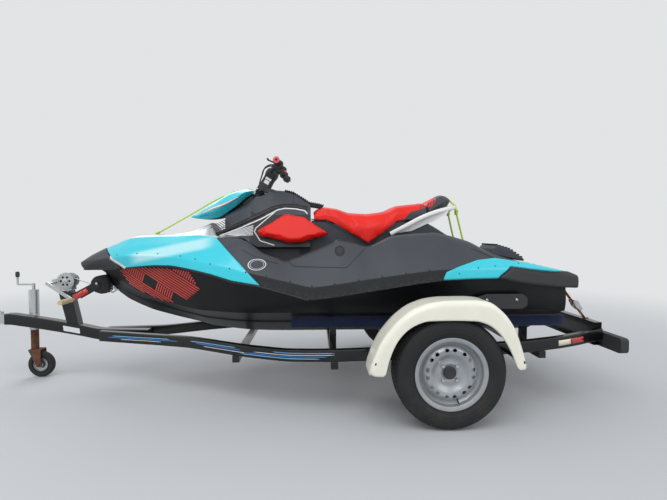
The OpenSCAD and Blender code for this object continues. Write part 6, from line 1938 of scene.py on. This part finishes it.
    def straps(self) -> None:
        """Stern straps: flat webbing with a ratchet, its spool, and a hook at the foot."""
        w = Shell("stern_webbing")
        line = np.array([(-986, 452), (-960, 486), (-940, 511), (-900, 563), (-829, 655)], float)
        p = densify(line, 60)
        for k in (1, -1):
            ring = [np.column_stack([p[:, 0] + dx, np.full(60, 330 * k + dy), p[:, 1] + dz]) for dy, dx,
                dz in ((-18, -1, 0.6), (18, -1, 0.6), (18, 1, -0.6), (-18, 1, -0.6))]
            w.grid(np.stack(ring, 1), wrap_v=True, caps=True)
        w.build(Paint.webbing, stands_for=["stern_straps"], slot="orange_webbing")
        r = Shell("strap_ratchets")
        ang = math.radians(52)
        u, v = np.array([math.cos(ang), 0, math.sin(ang)]), np.array([-math.sin(ang), 0, math.cos(ang)])
        for k in (1, -1):
            c = np.array([-925.0, 330 * k, 532])
            for dy in (-25, 25):
                o = fillet([(-38.0, -4), (-38, 14), (20, 20), (38, 8), (38, -6), (0, -12)], 6, 4, loop=True)
                ring = [c + o[:, :1] * u + o[:, 1:] * v + (0, dy + t, 0) for t in (-1.5, 1.5)]
                r.grid(np.stack(ring), wrap_v=True, caps=True)
            for d, rad in ((10, 9.0), (-30, 5.0), (34, 5.5)):
                r.tube(np.array([c + u * d + v * 3 + (0, y, 0) for y in (-28, 28)]), rad, 14, up=(1, 0, 0.2))
            hook = bent([(-958, 330 * k, 490), (-972, 330 * k, 470), (-990, 330 * k, 456),
                (-1006, 330 * k, 456), (-1012, 330 * k, 446)], 24)
            r.tube(hook, 4.5, 10, up=(0, 1, 0))
        r.build(Paint.zinc)


# ------------------------------------------------------------------------- studio
@dataclass
class Studio:
    """Pale floor, soft lights and the camera."""

    eye: tuple[float, float, float] = (-0.212, 2.912, 0.9705)
    yaw: float = 2.5
    pitch: float = 2.2
    lens: float = 36 * 435 / 667
    sky: str = "#e2e4e6"

    def make(self) -> None:
        """Sets the whole scene up; none of it belongs to the object."""
        world = bpy.data.worlds.new("pale_room")
        world.use_nodes = True
        bg = world.node_tree.nodes["Background"]
        bg.inputs[0].default_value = rgb(self.sky)
        bg.inputs[1].default_value = 1.0
        bpy.context.scene.world = world
        self.floor()
        for name, at, size, power, aim in (
            ("key", (0.6, 3.4, 4.6), 3.6, 85, (0, 0, 0.5)), ("fill", (-3.8, 3.0, 2.8), 2.6, 22, (0, 0, 0.6)),
            ("rim", (1.5, -3.8, 3.6), 3.0, 50, (0, 0, 0.6)),
            ("front", (4.4, 1.6, 2.4), 2.2, 22, (0.6, 0, 0.6))):
            light = bpy.data.lights.new(name, "AREA")
            light.shape, light.size, light.energy = "DISK", size, power
            o = bpy.data.objects.new(name, light)
            o.location = at
            d = np.array(aim) - np.array(at)
            o.rotation_euler = (math.acos(-d[2] / np.linalg.norm(d)), 0, math.atan2(-d[0], d[1]))
            bpy.context.scene.collection.objects.link(o)
        cam = bpy.data.cameras.new("camera")
        cam.lens, cam.sensor_width, cam.clip_end = self.lens, 36.0, 100.0
        o = bpy.data.objects.new("camera", cam)
        o.location = self.eye
        o.rotation_euler = (math.radians(90 - self.pitch), 0, math.radians(180 - self.yaw))
        bpy.context.scene.collection.objects.link(o)
        bpy.context.scene.camera = o
        bpy.context.scene.view_settings.view_transform = "Standard"

    def floor(self) -> None:
        """A wide flat floor that passes into the sky's own colour with distance from the middle."""
        r = np.array([0.0, 1.0, 2.0, 3.0, 4.0, 6.0, 9.0, 14.0, 30.0, 60.0])
        p = np.concatenate([np.column_stack([circle(q, 48) + (0.3, -0.5), np.zeros(48)]) for q in r])
        i = np.arange(len(p)).reshape(len(r), 48)
        q = np.stack([i[:-1], i[1:], np.roll(i[1:], -1, 1), np.roll(i[:-1], -1, 1)], -1).reshape(-1, 4)
        mesh = bpy.data.meshes.new("studio_floor")
        mesh.from_pydata(p, [], q.tolist())
        floor = bpy.data.objects.new("studio_floor", mesh)
        m = bpy.data.materials.new("studio_paper")
        m.use_nodes = True
        net = Net(m.node_tree)
        far = net.step(net.add("ShaderNodeVectorMath", {0: net.add("ShaderNodeTexCoord").outputs["Object"]},
            operation="LENGTH").outputs["Value"], 2.2, 7.0)
        s = m.node_tree.nodes["Principled BSDF"]
        m.node_tree.links.new(net.mix(far, rgb("#c3c5c8"), rgb("#000000")), s.inputs["Base Color"])
        m.node_tree.links.new(net.mix(far, rgb("#000000"), rgb(self.sky)), s.inputs["Emission Color"])
        s.inputs["Emission Strength"].default_value = 1.0
        s.inputs["Roughness"].default_value = 1.0
        s.inputs["Specular IOR Level"].default_value = 0.0
        mesh.materials.append(m)
        bpy.context.scene.collection.objects.link(floor)


def main() -> None:
    """Builds the outfit in order."""
    logging.basicConfig(level=logging.INFO, format="%(name)s: %(message)s")
    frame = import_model()
    Studio().make()
    for part in (Body(), Upholstery(), Steering(), Trailer(), Running(), Fittings()):
        part.make()
        LOG.info("%s done", type(part).__name__)
    shown = {n: o.data.materials for n, o in frame["nodes"].items() if not o.hide_render}
    left = [n for n, own in shown.items() if not any(m and m.use_nodes and m.get("made") for m in own)]
    LOG.info("frame nodes still shown: %s", left)


if __name__ == "__main__":
    main()
